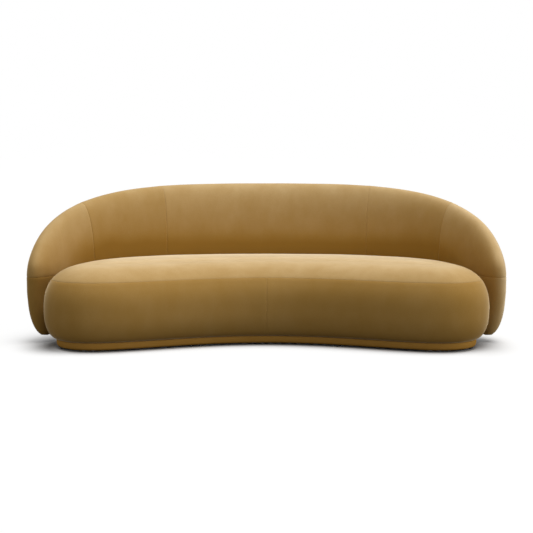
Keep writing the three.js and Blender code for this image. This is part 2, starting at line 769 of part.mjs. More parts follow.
// The clear space inside a ring that follows the seat, from front to rear, over a width along X.
function ringInsideAt(x0, x1, inset) {
  const ring = level(inset, 0);
  let front = -Infinity;
  let rear = Infinity;
  seatRays.forEach((ray, i) => {
    const next = seatRays[(i + 1) % seatRays.length];
    const [a, b] = [seatPoint(ray, ring), seatPoint(next, ring)].sort((p, q) => p.x - q.x);
    if (b.x <= x0 || a.x >= x1) return;
    for (const x of [Math.max(a.x, x0), Math.min(b.x, x1)]) {
      const y = a.y + ((b.y - a.y) * (x - a.x)) / (b.x - a.x);
      if (ray.inward.y + next.inward.y > 0) front = Math.max(front, y);
      else rear = Math.min(rear, y);
    }
  });
  return { front: front + CLEARANCE, rear: rear - CLEARANCE };
}

// Plinth: its side at a depth under the velvet, with the lower edge cut off at 45 degrees
function plinthEdgeInset(depth) {
  return PLINTH_INSET + PLINTH_EDGE_CUT + depth * Math.SQRT2;
}

function plinthSide(depth) {
  const cutTop = PLINTH_BOTTOM + PLINTH_EDGE_CUT + depth * (Math.SQRT2 - 1);
  const upright = [cutTop, PLINTH_TOP].map((height) => level(PLINTH_INSET + depth, height));
  return [level(plinthEdgeInset(depth), PLINTH_BOTTOM), ...upright];
}

function addPlinth() {
  const railDepth = PLINTH_COVER + CLEARANCE;
  const inside = plinthSide(railDepth).map((ring) => level(PLINTH_RAIL_INNER, ring.at()[1]));
  const holes = hands.map(([, sign]) => bracketBoltHoles(sign).plinth);
  add("plinth_rail", cut(seatShell(plinthSide(railDepth), inside), holes), plywood());
  add("plinth_cover", cut(seatShell(plinthSide(0), plinthSide(PLINTH_COVER)), holes), velvet());
  const bars = [
    ["left", -CROSSBAR_SPACING],
    ["centre", 0],
    ["right", CROSSBAR_SPACING],
  ];
  for (const [name, x] of bars) {
    const half = CROSSBAR_WIDTH / 2;
    const { front, rear } = ringInsideAt(x - half, x + half, PLINTH_RAIL_INNER);
    const bar = block(x - half, x + half, front, rear, PLINTH_BOTTOM, PLINTH_TOP);
    add("plinth_crossbar_" + name, bar, plywood());
  }
  const clothInset = plinthEdgeInset(PLINTH_COVER);
  const clothTop = [level(clothInset, DUST_TOP), middle(DUST_TOP)];
  const clothBottom = [level(clothInset, DUST_TOP - DUST_CLOTH), middle(DUST_TOP - DUST_CLOTH)];
  add("seat_dust_cloth", seatShell(clothTop, clothBottom), blackCloth());
}

// Glides under the middle of the plinth's rail: two at the rear, two at the front and one at each end.
function addGlides() {
  const inset = (plinthEdgeInset(PLINTH_COVER + CLEARANCE) + PLINTH_RAIL_INNER) / 2;
  const endRay = Math.round(frontCentre / 2);
  const spots = [
    ["rear", Math.round(SEAT_RUNGS / 2)],
    ["end", endRay],
    ["front", frontCentre - Math.round(SEAT_RUNGS / 2)],
  ];
  for (const [place, number] of spots) {
    for (const [hand, sign] of hands) {
      const spot = seatPoint(rightRays[number], level(inset, 0));
      const pad = disc(GLIDE_RADIUS, GLIDE_EDGE, 0, GLIDE_TOP);
      const glide = add(`seat_glide_${place}_${hand}`, pad, blackPlastic());
      glide.position.set(sign * spot.x, spot.y, 0);
    }
  }
}

// Seat frame
function addSeatFrame() {
  const board = (top, bottom) => [
    [level(FRAME_INSET, top), middle(top)],
    [level(FRAME_INSET, bottom), middle(bottom)],
  ];
  add("seat_base_board", seatShell(...board(BASE_TOP, BASE_BOTTOM)), plywood());
  const railBottom = BASE_TOP + CLEARANCE;
  const railTop = TOP_FRAME_BOTTOM - CLEARANCE;
  const outside = [level(FRAME_INSET, railBottom), level(FRAME_INSET, railTop)];
  const inside = [level(FRAME_INSET + PLY, railBottom), level(FRAME_INSET + PLY, railTop)];
  const rearEnd = Math.round(SEAT_RUNGS + SEAT_END_STEPS * (1 - END_RAIL_SHARE) / 2);
  const frontEnd = Math.round(SEAT_RUNGS + SEAT_END_STEPS * (1 + END_RAIL_SHARE) / 2);
  const count = seatRays.length;
  const rails = [
    ["rear", count - rearEnd, count + rearEnd],
    ["right_end", rearEnd, frontEnd],
    ["front", frontEnd, count - frontEnd],
    ["left_end", count - frontEnd, count - rearEnd],
  ];
  for (const [name, from, to] of rails) {
    add(`seat_${name}_rail`, seatShell(outside, inside, shortened(stretch(from, to))), plywood());
  }
  RIB_PLACE_SHARES.forEach((share, i) => {
    const x = SEAT_HALF_WIDTH * share;
    const half = PLY / 2;
    const { front, rear } = ringInsideAt(x - half, x + half, FRAME_INSET + PLY);
    const rib = block(x - half, x + half, front, rear, railBottom, railTop);
    add("seat_rib_" + (i + 1), rib, plywood());
  });
  const innerInset = FRAME_INSET + TOP_FRAME_WIDTH;
  const frameOut = [level(FRAME_INSET, TOP_FRAME_BOTTOM), level(FRAME_INSET, FRAME_TOP)];
  const frameIn = [level(innerInset, TOP_FRAME_BOTTOM), level(innerInset, FRAME_TOP)];
  add("seat_top_frame", seatShell(frameOut, frameIn), plywood());
}

// Half the width of the seat's rear half at a place along Y, less an inset square to its edge.
function rearHalfWidthAt(y, inset) {
  const edge = nearestTo(rearPoints, (point) => Math.abs(point.y - y));
  const ray = nearestTo(rightRays, (candidate) => candidate.edge.distanceTo(edge));
  return edge.x - inset / Math.abs(ray.inward.x);
}

// Webbing over the top frame: straps from front to rear, crossed by two long ones, fixed where they cross.
function addWebbing() {
  const half = WEBBING_WIDTH / 2;
  const grip = FRAME_INSET + TOP_FRAME_WIDTH - WEBBING_GRIP;
  const count = Math.floor(MIDDLE_LINE_END / WEBBING_PITCH);
  const top = WEBBING_BOTTOM + WEBBING_THICKNESS;
  const straps = [];
  for (let i = -count; i <= count; i += 1) {
    const x = i * WEBBING_PITCH;
    const { front, rear } = ringInsideAt(x - half, x + half, grip);
    straps.push(block(x - half, x + half, front, rear, WEBBING_BOTTOM, top));
  }
  for (const share of LONG_WEBBING_PLACE_SHARES) {
    const y = frontEdge(0) + FRAME_INSET + TOP_FRAME_WIDTH + LONG_WEBBING_PITCH * share;
    const end = rearHalfWidthAt(y + half, grip);
    straps.push(block(-end, end, y - half, y + half, WEBBING_BOTTOM, top));
  }
  add("seat_webbing", joined(straps), webbingCloth());
}

// Seat foam and covers. Every layer has its rings at the same shares of the seat's rolls, so that layers
// nest.
const riseOf = (height) => (height - SEAT_FULLEST) / (SEAT_EDGE_TOP - SEAT_FULLEST);
const frameAngle = angleAtRise(riseOf(FRAME_TOP), TOP_ROUNDNESS);
const seamAngle = angleAtRise(riseOf(SEAT_SEAM_HEIGHT), TOP_ROUNDNESS);
const topAngles = spaced(seamAngle, Math.PI / 2, TOP_ROLL_STEPS);

// The ring at a height on the straight line between two rings, a little inside it to clear the folds of
// its facets.
function ringBetween(lower, upper, height) {
  return {
    at: (ray) => {
      const [lowInset, low] = lower.at(ray);
      const [highInset, high] = upper.at(ray);
      return [FOLD_ROOM + lowInset + ((highInset - lowInset) * (height - low)) / (high - low), height];
    },
  };
}

function sideRings(depth) {
  return [...UNDER_RING_SHARES.map((share) => underRing(share, depth)), sideRing(frameAngle, depth)];
}

function topRings(depth) {
  const rolled = topAngles.map((angle) => sideRing(angle, depth));
  return [...rolled, ...CROWN_RING_SHARES.map((share) => crownRing(share, depth))];
}

function addSeatFoam() {
  const depth = VELVET + CLEARANCE;
  const side = sideRings(depth);
  const wallInset = FRAME_INSET - CLEARANCE;
  const sideIn = side.map((ring) => level(wallInset, ring.at(seatRays[0])[1]));
  add("seat_side_foam", seatShell(side, sideIn), softFoam());
  const top = topRings(depth);
  const frameRing = side[side.length - 1];
  const coreTop = TOPPER_UNDERSIDE - CLEARANCE;
  const coreOut = [ringBetween(top[0], top[1], coreTop), middle(coreTop)];
  const coreIn = [ringBetween(frameRing, top[0], CORE_BOTTOM), middle(CORE_BOTTOM)];
  add("seat_core_foam", seatShell(coreOut, coreIn), softFoam());
  const topper = top.slice(1);
  const underside = topper.map((ring) => ({ at: (ray) => [ring.at(ray)[0], TOPPER_UNDERSIDE] }));
  add("seat_topper", seatShell(topper, underside), softFoam());
}

function addSeatCovers() {
  add("seat_cover_top", seatShell(topRings(0), topRings(VELVET)), velvet());
  const band = (depth) => {
    const seam = sideRing(seamAngle, depth);
    const seamEdge = { at: (ray) => [seam.at(ray)[0], seam.at(ray)[1] - SEAM_GAP] };
    return [level(UNDER_ROLL + HEM_WIDTH, HEM_BOTTOM + depth), ...sideRings(depth), seamEdge];
  };
  const halves = { left: stretch(frontCentre, seatRays.length), right: stretch(0, frontCentre) };
  for (const [hand, rays] of Object.entries(halves)) {
    add("seat_band_" + hand, seatShell(band(0), band(VELVET), shortened(rays)), velvet());
  }
}

// Back frame
function addBackFrame() {
  const holes = hands.map(([, sign]) => bracketBoltHoles(sign).back);
  const rail = wallBar(PLY_IN, BACK_RAIL_SIDE_GAP, BACK_RAIL_BOTTOM, BACK_RAIL_TOP);
  add("back_bottom_rail", cut(rail, holes), plywood());
  add("back_rib_centre", backRib(0, 1), plywood());
  const places = [
    ["side", CENTRE_COLUMNS - 1],
    ["corner", CENTRE_COLUMNS + SIDE_COLUMNS],
    ["wing", columnsAlong.length - 2],
  ];
  for (const [place, index] of places) {
    for (const [hand, sign] of hands) add(`back_rib_${place}_${hand}`, backRib(index, sign), plywood());
  }
  const everywhere = () => true;
  add("back_inner_ply", wallShell(PLY_OUT, PLY_IN, everywhere, [-1], PLY_FIRST_RING), plywood());
  add("back_outer_ply", wallShell(PLY_OUT, PLY_IN, everywhere, [1], PLY_FIRST_RING), plywood());
}

// Back foam and covers
function addBackUpholstery() {
  const handOf = (ray) => ray.spanHand || ray.hand;
  const foam = (keep) => wallShell(FOAM_OUT, FOAM_IN, keep);
  const cover = (keep) => wallShell(COVER_OUT, COVER_IN, keep);
  const centre = (ray) => ray.spanPanel === "centre";
  const panels = [
    ["back_cover_", "side"],
    ["wing_cover_", "wing"],
    ["nose_cover_", "nose"],
  ];
  add("back_foam_centre", foam(centre), softFoam());
  add("back_cover_centre", cover(centre), velvet());
  for (const [hand] of hands) {
    const beyond = (ray) => handOf(ray) === hand && !centre(ray) && !isSideSeam(ray);
    add("back_foam_" + hand, foam(beyond), softFoam());
    for (const [name, panel] of panels) {
      add(name + hand, cover((ray) => handOf(ray) === hand && ray.spanPanel === panel), velvet());
    }
  }
}

// True for the thin span between the centre panel and a side panel, up the front and down the foot.
function isSideSeam(ray) {
  const near = Math.abs(ray.end.x - SIDE_SEAM_AT) <= SEAM_GAP;
  return near && ray.spanPanel === "seam";
}

function addBackUnderside() {
  const holes = hands.map(([, sign]) => bracketBoltHoles(sign).back);
  const strip = wallBar(COVER_OUT, VELVET, BACK_DUST_BOTTOM, BACK_DUST_TOP, BACK_BOTTOM);
  add("back_dust_cloth", cut(strip, holes), blackCloth());
  const spots = [
    ["rear", columnsAlong[CENTRE_COLUMNS - 1]],
    ["corner", columnsAlong[CENTRE_COLUMNS + SIDE_COLUMNS]],
  ];
  for (const [place, along] of spots) {
    for (const [hand, sign] of hands) {
      const spot = wallSpot(along, BACK_BOTTOM, 0, sign);
      const pad = disc(GLIDE_RADIUS, GLIDE_EDGE, 0, BACK_GLIDE_TOP);
      const glide = add(`back_glide_${place}_${hand}`, pad, blackPlastic());
      glide.position.set(spot.x, spot.y, 0);
    }
  }
}

// Brackets: a foot under the back wall and a leg against the rear of the plinth, one bolt through each.
function bracketFrame(sign) {
  const footSpot = wallSpot(BRACKET_AT, BACK_BOTTOM, 0, sign);
  const share = BRACKET_AT / BACK_HALF_LENGTH;
  const tangent = backLine.getTangentAt(share);
  const across = new THREE.Vector2(-sign * tangent.y, tangent.x);
  const rightFoot = new THREE.Vector2(sign * footSpot.x, footSpot.y);
  const plinthFace = nearestTo(rearPoints, (point) => point.distanceTo(rightFoot));
  const outline = new THREE.Vector2(sign * plinthFace.x, plinthFace.y);
  const reach = new THREE.Vector2(footSpot.x, footSpot.y).sub(outline).dot(across) + PLINTH_INSET;
  const turn = Math.atan2(across.y, across.x) - Math.PI / 2;
  return { footSpot, reach, turn, across };
}

function placed(geometry, sign) {
  const { footSpot, turn } = bracketFrame(sign);
  return geometry.rotateZ(turn).translate(footSpot.x, footSpot.y, 0);
}

const BRACKET_TOP = BACK_GLIDE_TOP;
const LEG_BOLT_HEIGHT = (BRACKET_TOP + PLINTH_TOP) / 2;

// A bolt that lies level, its head at the back and its shank towards the front.
function levelled(geometry, seatY, height) {
  return geometry.rotateX(Math.PI / 2).translate(0, seatY, height);
}

function bracketBoltHoles(sign) {
  const { reach } = bracketFrame(sign);
  const radius = BOLT_RADIUS + BOLT_HOLE_GAP;
  const below = BRACKET_TOP - BRACKET_STEEL - CUT_OVERRUN;
  const back = placed(pin(radius, below, BACK_RAIL_TOP + CUT_OVERRUN), sign);
  const depth = PLINTH_RAIL_WIDTH + PLINTH_COVER + BRACKET_STEEL + CUT_OVERRUN;
  const sideways = levelled(pin(radius, -CUT_OVERRUN, depth), BRACKET_STEEL - reach, LEG_BOLT_HEIGHT);
  return { back, plinth: placed(sideways, sign) };
}

function addBrackets() {
  for (const [hand, sign] of hands) {
    const { reach } = bracketFrame(sign);
    const half = BRACKET_WIDTH / 2;
    const legFront = -reach + CLEARANCE * 2;
    const footBottom = BRACKET_TOP - BRACKET_STEEL;
    const foot = block(-half, half, legFront, BRACKET_REAR_REACH, footBottom, BRACKET_TOP);
    const leg = block(-half, half, legFront, legFront + BRACKET_STEEL, footBottom, PLINTH_TOP - CLEARANCE);
    const holes = bracketBoltHoles(sign);
    const bracket = cut(placed(joined([foot, leg]), sign), [holes.back, holes.plinth]);
    add("joining_bracket_" + hand, bracket, zincSteel());
    const upright = bolt(footBottom - CLEARANCE, BACK_RAIL_TOP - BOLT_END_GAP);
    add("back_bolt_" + hand, placed(upright, sign), zincSteel());
    const shank = PLINTH_RAIL_WIDTH + PLINTH_COVER + BRACKET_STEEL - BOLT_END_GAP;
    const seatY = legFront + BRACKET_STEEL + CLEARANCE;
    add("plinth_bolt_" + hand, placed(levelled(bolt(0, shank), seatY, LEG_BOLT_HEIGHT), sign), zincSteel());
  }
}

addPlinth();
addGlides();
addSeatFrame();
addWebbing();
addSeatFoam();
addSeatCovers();
addBackFrame();
addBackUpholstery();
addBackUnderside();
addBrackets();

// The middle of the footprint becomes the origin.
sofa.updateMatrixWorld(true);
const bounds = new THREE.Box3().setFromObject(sofa);
sofa.position.y = -(bounds.min.y + bounds.max.y) / 2;

export default sofa;
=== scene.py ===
"""Curved velvet sofa: a bean-shaped seat on a low plinth, wrapped by a low back with rounded wings.

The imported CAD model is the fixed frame. The upholstery is rebuilt here at full detail from the same
sizes: padded velvet panels with sunk seams, the stretched plinth cover, stitches and staples.
"""

import functools
import logging
import math
from dataclasses import dataclass, field
from enum import Enum
from typing import Any, Callable, Sequence

import bmesh
import bpy
import numpy as np
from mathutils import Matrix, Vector, noise


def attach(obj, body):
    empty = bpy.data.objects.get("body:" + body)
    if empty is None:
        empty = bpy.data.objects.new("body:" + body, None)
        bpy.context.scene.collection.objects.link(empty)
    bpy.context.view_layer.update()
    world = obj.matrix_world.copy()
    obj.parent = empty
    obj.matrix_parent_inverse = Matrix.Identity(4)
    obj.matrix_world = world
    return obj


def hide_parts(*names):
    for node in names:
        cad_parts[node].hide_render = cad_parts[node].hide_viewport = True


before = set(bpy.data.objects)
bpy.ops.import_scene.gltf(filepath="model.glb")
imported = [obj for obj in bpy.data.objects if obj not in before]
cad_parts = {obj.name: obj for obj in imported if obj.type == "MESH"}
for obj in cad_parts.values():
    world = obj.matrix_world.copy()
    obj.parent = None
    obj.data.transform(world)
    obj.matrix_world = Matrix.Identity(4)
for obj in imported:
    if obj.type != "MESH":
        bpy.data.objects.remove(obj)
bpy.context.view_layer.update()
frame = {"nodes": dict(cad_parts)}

log = logging.getLogger("sofa")

Array = np.ndarray
Colour = tuple[float, float, float]
Stretch = tuple[float, float, float]
Rays = tuple[Array, Array, Array]
BODY = "root"
EVEN: Stretch = (1.0, 1.0, 1.0)
WHITE = (1.0, 1.0, 1.0, 1.0)
TOUCHING = 1e-6
SEAM_CLUSTER = (0.0, 0.0011, 0.0024, 0.0042, 0.0068, 0.0105, 0.016, 0.024)
CLUSTER_CLEARANCE = 1.25


class Hand(Enum):
    """A side of the sofa, as seen from the front, and the sign of its X."""

    LEFT = -1
    RIGHT = 1


class Panel(Enum):
    """A velvet panel of the back."""

    CENTRE = "centre"
    SIDE = "side"
    WING = "wing"
    NOSE = "nose"


class Signal:
    """A number that comes out of a shader node, with the usual arithmetic."""

    def __init__(self, shader: "Shader", socket: bpy.types.NodeSocket) -> None:
        """Keep the tree that new Math nodes go into, and the socket that carries the number."""
        self.shader = shader
        self.socket = socket

    def _math(self, operation: str, *values: Any) -> "Signal":
        """Return a Math node on these values, as a signal."""
        node = self.shader.node("ShaderNodeMath", {"operation": operation}, dict(enumerate(values)))
        return Signal(self.shader, node.outputs[0])

    def __add__(self, other: Any) -> "Signal":
        """Return the sum."""
        return self._math("ADD", self, other)

    def __sub__(self, other: Any) -> "Signal":
        """Return the difference."""
        return self._math("SUBTRACT", self, other)

    def __rsub__(self, other: Any) -> "Signal":
        """Return the difference from a plain number."""
        return self._math("SUBTRACT", other, self)

    def __mul__(self, other: Any) -> "Signal":
        """Return the product."""
        return self._math("MULTIPLY", self, other)

    __radd__ = __add__
    __rmul__ = __mul__

    def power(self, exponent: float) -> "Signal":
        """Return the signal raised to a power."""
        return self._math("POWER", self, exponent)

    def wave(self) -> "Signal":
        """Return the sine of the signal."""
        return self._math("SINE", self)

    def held(self) -> "Signal":
        """Return the signal held between 0 and 1."""
        node = self.shader.node("ShaderNodeClamp", {}, {"Value": self})
        return Signal(self.shader, node.outputs[0])


class NodeTree:
    """A node tree, which gets its nodes from one method."""

    def __init__(self, tree: bpy.types.NodeTree) -> None:
        """Keep the tree, and empty it."""
        self.tree = tree
        self.tree.nodes.clear()

    def node(self, kind: str, settings: dict[str, Any], values: dict[Any, Any]) -> bpy.types.Node:
        """Add a node.

        Args:
            kind: The node's type.
            settings: Properties set before anything else; "stops" holds a ramp's places and colours.
            values: Socket names, identifiers or numbers, each with a value, a socket or a signal.

        Returns:
            The new node.
        """
        made = self.tree.nodes.new(kind)
        for key, setting in settings.items():
            if key == "stops":
                self._set_stops(made.color_ramp, setting)
            else:
                setattr(made, key, setting)
        for key, value in values.items():
            self._plug(self._socket(made, key), value)
        return made

    @staticmethod
    def _set_stops(ramp: bpy.types.ColorRamp, stops: Sequence[tuple[float, Colour]]) -> None:
        """Give a colour ramp its stops.

        Args:
            ramp: The ramp, which has two stops of its own.
            stops: Places and their colours.
        """
        while len(ramp.elements) < len(stops):
            ramp.elements.new(1.0)
        for element, (place, colour) in zip(ramp.elements, stops):
            element.position = place
            element.color = (*colour, 1.0)

    @staticmethod
    def _socket(made: bpy.types.Node, key: Any) -> bpy.types.NodeSocket:
        """Find a node's input.

        Args:
            made: The node.
            key: The input's number, identifier or name.

        Returns:
            The input.
        """
        if isinstance(key, int):
            return made.inputs[key]
        for socket in made.inputs:
            if socket.identifier == key:
                return socket
        return made.inputs[key]

    def _plug(self, socket: bpy.types.NodeSocket, value: Any) -> None:
        """Link or set an input.

        Args:
            socket: The input.
            value: A signal or a socket to link, or a plain value.
        """
        if isinstance(value, Signal):
            self.tree.links.new(value.socket, socket)
        elif isinstance(value, bpy.types.NodeSocket):
            self.tree.links.new(value, socket)
        else:
            socket.default_value = value


class Shader(NodeTree):
    """One material's node tree."""

    def __init__(self, name: str) -> None:
        """Start a material with a bare Principled surface.

        Args:
            name: The material's name.
        """
        self.material = bpy.data.materials.new(name)
        self.material.use_nodes = True
        super().__init__(self.material.node_tree)
        self.surface = self.node("ShaderNodeBsdfPrincipled", {}, {})
        self.output = self.node("ShaderNodeOutputMaterial", {}, {"Surface": self.surface.outputs[0]})

    def place(self, stretch: Stretch = EVEN) -> bpy.types.NodeSocket:
        """Return the place on the piece in metres, stretched along its axes."""
        spot = self.node("ShaderNodeTexCoord", {}, {}).outputs["Object"]
        return self.node("ShaderNodeMapping", {}, {"Vector": spot, "Scale": stretch}).outputs[0]

    def axis(self, number: int) -> Signal:
        """Return one coordinate of the place on the piece: 0 is X, 1 is Y and 2 is Z."""
        spot = self.node("ShaderNodeSeparateXYZ", {}, {"Vector": self.place()})
        return Signal(self, spot.outputs[number])

    def clouds(self, size: float, detail: float = 2.0, stretch: Stretch = EVEN) -> Signal:
        """Return soft noise about 0.

        Args:
            size: How wide its clouds are, in metres.
            detail: How many finer layers it has.
            stretch: How much the pattern is squeezed along each axis.

        Returns:
            The noise as a signal, from about -0.5 to 0.5.
        """
        values = {"Vector": self.place(stretch), "Scale": 1.0 / size, "Detail": detail, "Roughness": 0.5}
        made = self.node("ShaderNodeTexNoise", {"noise_dimensions": "3D"}, values)
        return Signal(self, made.outputs[0]) - 0.5

    def carried(self, name: str) -> Signal:
        """Return a number that the mesh's points carry."""
        made = self.node("ShaderNodeAttribute", {"attribute_type": "GEOMETRY", "attribute_name": name}, {})
        return Signal(self, made.outputs["Fac"])

    def ramp(
        self, amount: Signal, stops: Sequence[tuple[float, Colour]], smooth: bool = False
    ) -> bpy.types.NodeSocket:
        """Return a colour picked by a signal from a row of stops.

        Args:
            amount: Where on the row, from 0 to 1.
            stops: Places and their colours.
            smooth: Whether the colours flow past the stops without a kink.

        Returns:
            The colour's socket.
        """
        made = self.node("ShaderNodeValToRGB", {"stops": stops}, {"Fac": amount})
        made.color_ramp.interpolation = "B_SPLINE" if smooth else "LINEAR"
        return made.outputs[0]

    def relief(self, height: Signal, depth: float, strength: float = 1.0) -> None:
        """Raise and sink the surface's shading.

        Args:
            height: The relief, about 0 to 1.
            depth: The height that 1 stands for, in metres.
            strength: How much of it shows.
        """
        bump = self.node("ShaderNodeBump", {}, {"Height": height, "Distance": depth, "Strength": strength})
        self.dress({"Normal": bump.outputs[0]})

    def dress(self, values: dict[str, Any]) -> None:
        """Set or link inputs of the surface."""
        for key, value in values.items():
            self._plug(self._socket(self.surface, key), value)


@dataclass(frozen=True)
class Finish:
    """A finish, which is painted once and then shared."""

    name: str

    def paint(self, shader: Shader) -> None:
        """Set up the surface. Each finish has its own."""
        raise NotImplementedError

    @functools.cache
    def material(self) -> bpy.types.Material:
        """Paint the finish when it's first asked for.

        Returns:
            The finish's one material.
        """
        shader = Shader(self.name)
        self.paint(shader)
        return shader.material


def tinted(colour: Colour, share: float) -> Colour:
    """Return a colour made paler or darker by a share."""
    return tuple(min(part * share, 1.0) for part in colour)


@dataclass(frozen=True)
class Velvet(Finish):
    """Short-piled velvet: clouds of stroked pile and a fine grain, with painted light and shade from the tone
    its points carry.
    """

    crushed_and_shaded: Colour = (0.240, 0.121, 0.019)
    body: Colour = (0.390, 0.226, 0.056)
    painted_highlight: Colour = (0.895, 0.735, 0.490)
    palest_painted_highlight: Colour = (0.990, 0.895, 0.755)
    body_at: float = 0.4
    painted_highlight_at: float = 0.8
    patch: float = 0.12
    patch_share: float = 0.13
    patch_stretch: Stretch = (1.0, 1.0, 0.75)
    streak: float = 0.050
    streak_share: float = 0.09
    streak_stretch: Stretch = (1.0, 1.0, 0.5)
    grain: float = 0.0035
    grain_share: float = 0.10
    contrast: float = 0.8
    roughness: float = 0.93
    smoothed: float = 0.12
    sheen: float = 0.65
    sheen_roughness: float = 0.30
    sheen_tint: Colour = (1.0, 0.84, 0.56)
    relief: float = 0.0006
    relief_share: float = 0.35

    def paint(self, shader: Shader) -> None:
        """Paint the pile and its strokes, and the painted highlights and shade that its carried tone gives.

        Args:
            shader: The material to paint.
        """
        patches = shader.clouds(self.patch, 2.0, self.patch_stretch)
        streaks = shader.clouds(self.streak, 3.0, self.streak_stretch)
        grain = shader.clouds(self.grain, 1.0)
        # The carried tone is the pile's own plus painted light and shade, set where the panels are laid out.
        nap = shader.carried("nap") - 0.5
        marks = patches * self.patch_share + streaks * self.streak_share + grain * self.grain_share
        tone = ((0.5 + marks + nap) * self.contrast).held()
        # The dark stop is crushed pile and painted shade; the pale stops are painted highlights.
        dark_half = [(0.0, self.crushed_and_shaded), (self.body_at, self.body)]
        pale_half = [(self.painted_highlight_at, self.painted_highlight), (1.0, self.palest_painted_highlight)]
        colour = shader.ramp(tone, dark_half + pale_half, smooth=True)
        shader.dress({"Base Color": colour, "Roughness": self.roughness - tone * self.smoothed})
        shader.dress({"Sheen Weight": self.sheen, "Sheen Roughness": self.sheen_roughness})
        shader.dress({"Sheen Tint": (*self.sheen_tint, 1.0), "Specular IOR Level": 0.0})
        shader.relief(0.5 + grain * 0.7 + streaks * 0.5, self.relief, self.relief_share)


@dataclass(frozen=True)
class Thread(Finish):
    """Twisted sewing thread, a shade darker than the velvet."""

    colour: Colour = (0.350, 0.208, 0.062)
    worn: float = 1.6
    twist: float = 0.0009
    twist_stretch: Stretch = (1.0, 1.0, 2.5)
    relief: float = 0.0002

    def paint(self, shader: Shader) -> None:
        """Paint the twist as fine slanting ridges.

        Args:
            shader: The material to paint.
        """
        twist = shader.clouds(self.twist, 0.0, self.twist_stretch)
        stops = [(0.3, self.colour), (0.8, tinted(self.colour, self.worn))]
        colour = shader.ramp((0.5 + twist).held(), stops)
        shader.dress({"Base Color": colour, "Roughness": 0.62, "Sheen Weight": 0.2})
        shader.relief(0.5 + twist, self.relief, 0.5)


@dataclass(frozen=True)
class DustCloth(Finish):
    """Thin black non-woven cloth, pressed with a grid of small dimples."""

    colour: Colour = (0.018, 0.018, 0.019)
    worn: float = 2.6
    pitch: float = 0.0022
    fibre: float = 0.006
    relief: float = 0.0003

    def paint(self, shader: Shader) -> None:
        """Paint the dimples and the fibres between them.

        Args:
            shader: The material to paint.
        """
        turn = 2.0 * math.pi / self.pitch
        dimples = 0.5 + (shader.axis(0) * turn).wave() * (shader.axis(1) * turn).wave() * 0.5
        fibres = shader.clouds(self.fibre, 4.0)
        stops = [(0.25, self.colour), (0.9, tinted(self.colour, self.worn))]
        colour = shader.ramp((0.5 + fibres).held(), stops)
        shader.dress({"Base Color": colour, "Roughness": 0.88 + fibres * 0.1, "Sheen Weight": 0.15})
        shader.relief(dimples * 0.7 + fibres * 0.6, self.relief, 0.5)


@dataclass(frozen=True)
class Webbing(Finish):
    """Elastic webbing: slanting ribs in black and grey."""

    colour: Colour = (0.030, 0.030, 0.033)
    worn: float = 2.4
    rib: float = 0.004
    relief: float = 0.0004

    def paint(self, shader: Shader) -> None:
        """Paint the ribs.

        Args:
            shader: The material to paint.
        """
        slant = shader.axis(0) + shader.axis(1)
        ribs = 0.5 + (slant * (2.0 * math.pi / self.rib)).wave() * 0.5
        colour = shader.ramp(ribs, [(0.2, self.colour), (0.9, tinted(self.colour, self.worn))])
        shader.dress({"Base Color": colour, "Roughness": 0.8})
        shader.relief(ribs, self.relief, 0.6)


@dataclass(frozen=True)
class Foam(Finish):
    """Cut upholstery foam, cream, with open cells and yellowed clouds."""

    colour: Colour = (0.780, 0.700, 0.500)
    yellow: Colour = (0.741, 0.616, 0.360)
    cell: float = 0.0016
    cloud: float = 0.20
    relief: float = 0.0008

    def paint(self, shader: Shader) -> None:
        """Paint the cells and the yellowing.

        Args:
            shader: The material to paint.
        """
        cells = shader.clouds(self.cell, 2.0)
        age = shader.clouds(self.cloud, 2.0)
        tone = (0.5 + age + cells * 0.5).held()
        colour = shader.ramp(tone, [(0.2, self.yellow), (0.8, self.colour)])
        shader.dress({"Base Color": colour, "Roughness": 0.95 + cells * 0.05})
        shader.relief(0.5 + cells, self.relief, 0.5)


@dataclass(frozen=True)
class Plywood(Finish):
    """Birch plywood: long grain on the faces and thin dark glue lines on the cut edges."""

    pale: Colour = (0.600, 0.430, 0.235)
    dark: Colour = (0.410, 0.265, 0.125)
    veneer: float = 0.0015
    grain: float = 0.012
    grain_stretch: Stretch = (0.08, 1.0, 1.0)
    relief: float = 0.0003

    def paint(self, shader: Shader) -> None:
        """Paint the grain and the veneers.

        Args:
            shader: The material to paint.
        """
        grain = shader.clouds(self.grain, 4.0, self.grain_stretch)
        layers = (shader.axis(2) * (math.pi / self.veneer)).wave().power(2.0)
        tone = (0.45 + grain * 0.9 + layers * 0.22).held()
        colour = shader.ramp(tone, [(0.15, self.dark), (0.75, self.pale)])
        shader.dress({"Base Color": colour, "Roughness": 0.62 + grain * 0.2})
        shader.relief(0.5 + grain, self.relief, 0.4)


@dataclass(frozen=True)
class MouldedPlastic(Finish):
    """Black moulded plastic with a fine spark-eroded grain, scuffed paler in places."""

    colour: Colour = (0.016, 0.016, 0.017)
    worn: float = 3.2
    grain: float = 0.0011
    scuff: float = 0.009
    relief: float = 0.0002

    def paint(self, shader: Shader) -> None:
        """Paint the grain and the scuffs.

        Args:
            shader: The material to paint.
        """
        grain = shader.clouds(self.grain, 2.0)
        scuffs = shader.clouds(self.scuff, 3.0)
        stops = [(0.35, self.colour), (1.0, tinted(self.colour, self.worn))]
        colour = shader.ramp((0.42 + scuffs).held(), stops)
        shader.dress({"Base Color": colour, "Roughness": 0.52 + scuffs * 0.3})
        shader.relief(0.5 + grain, self.relief, 0.45)


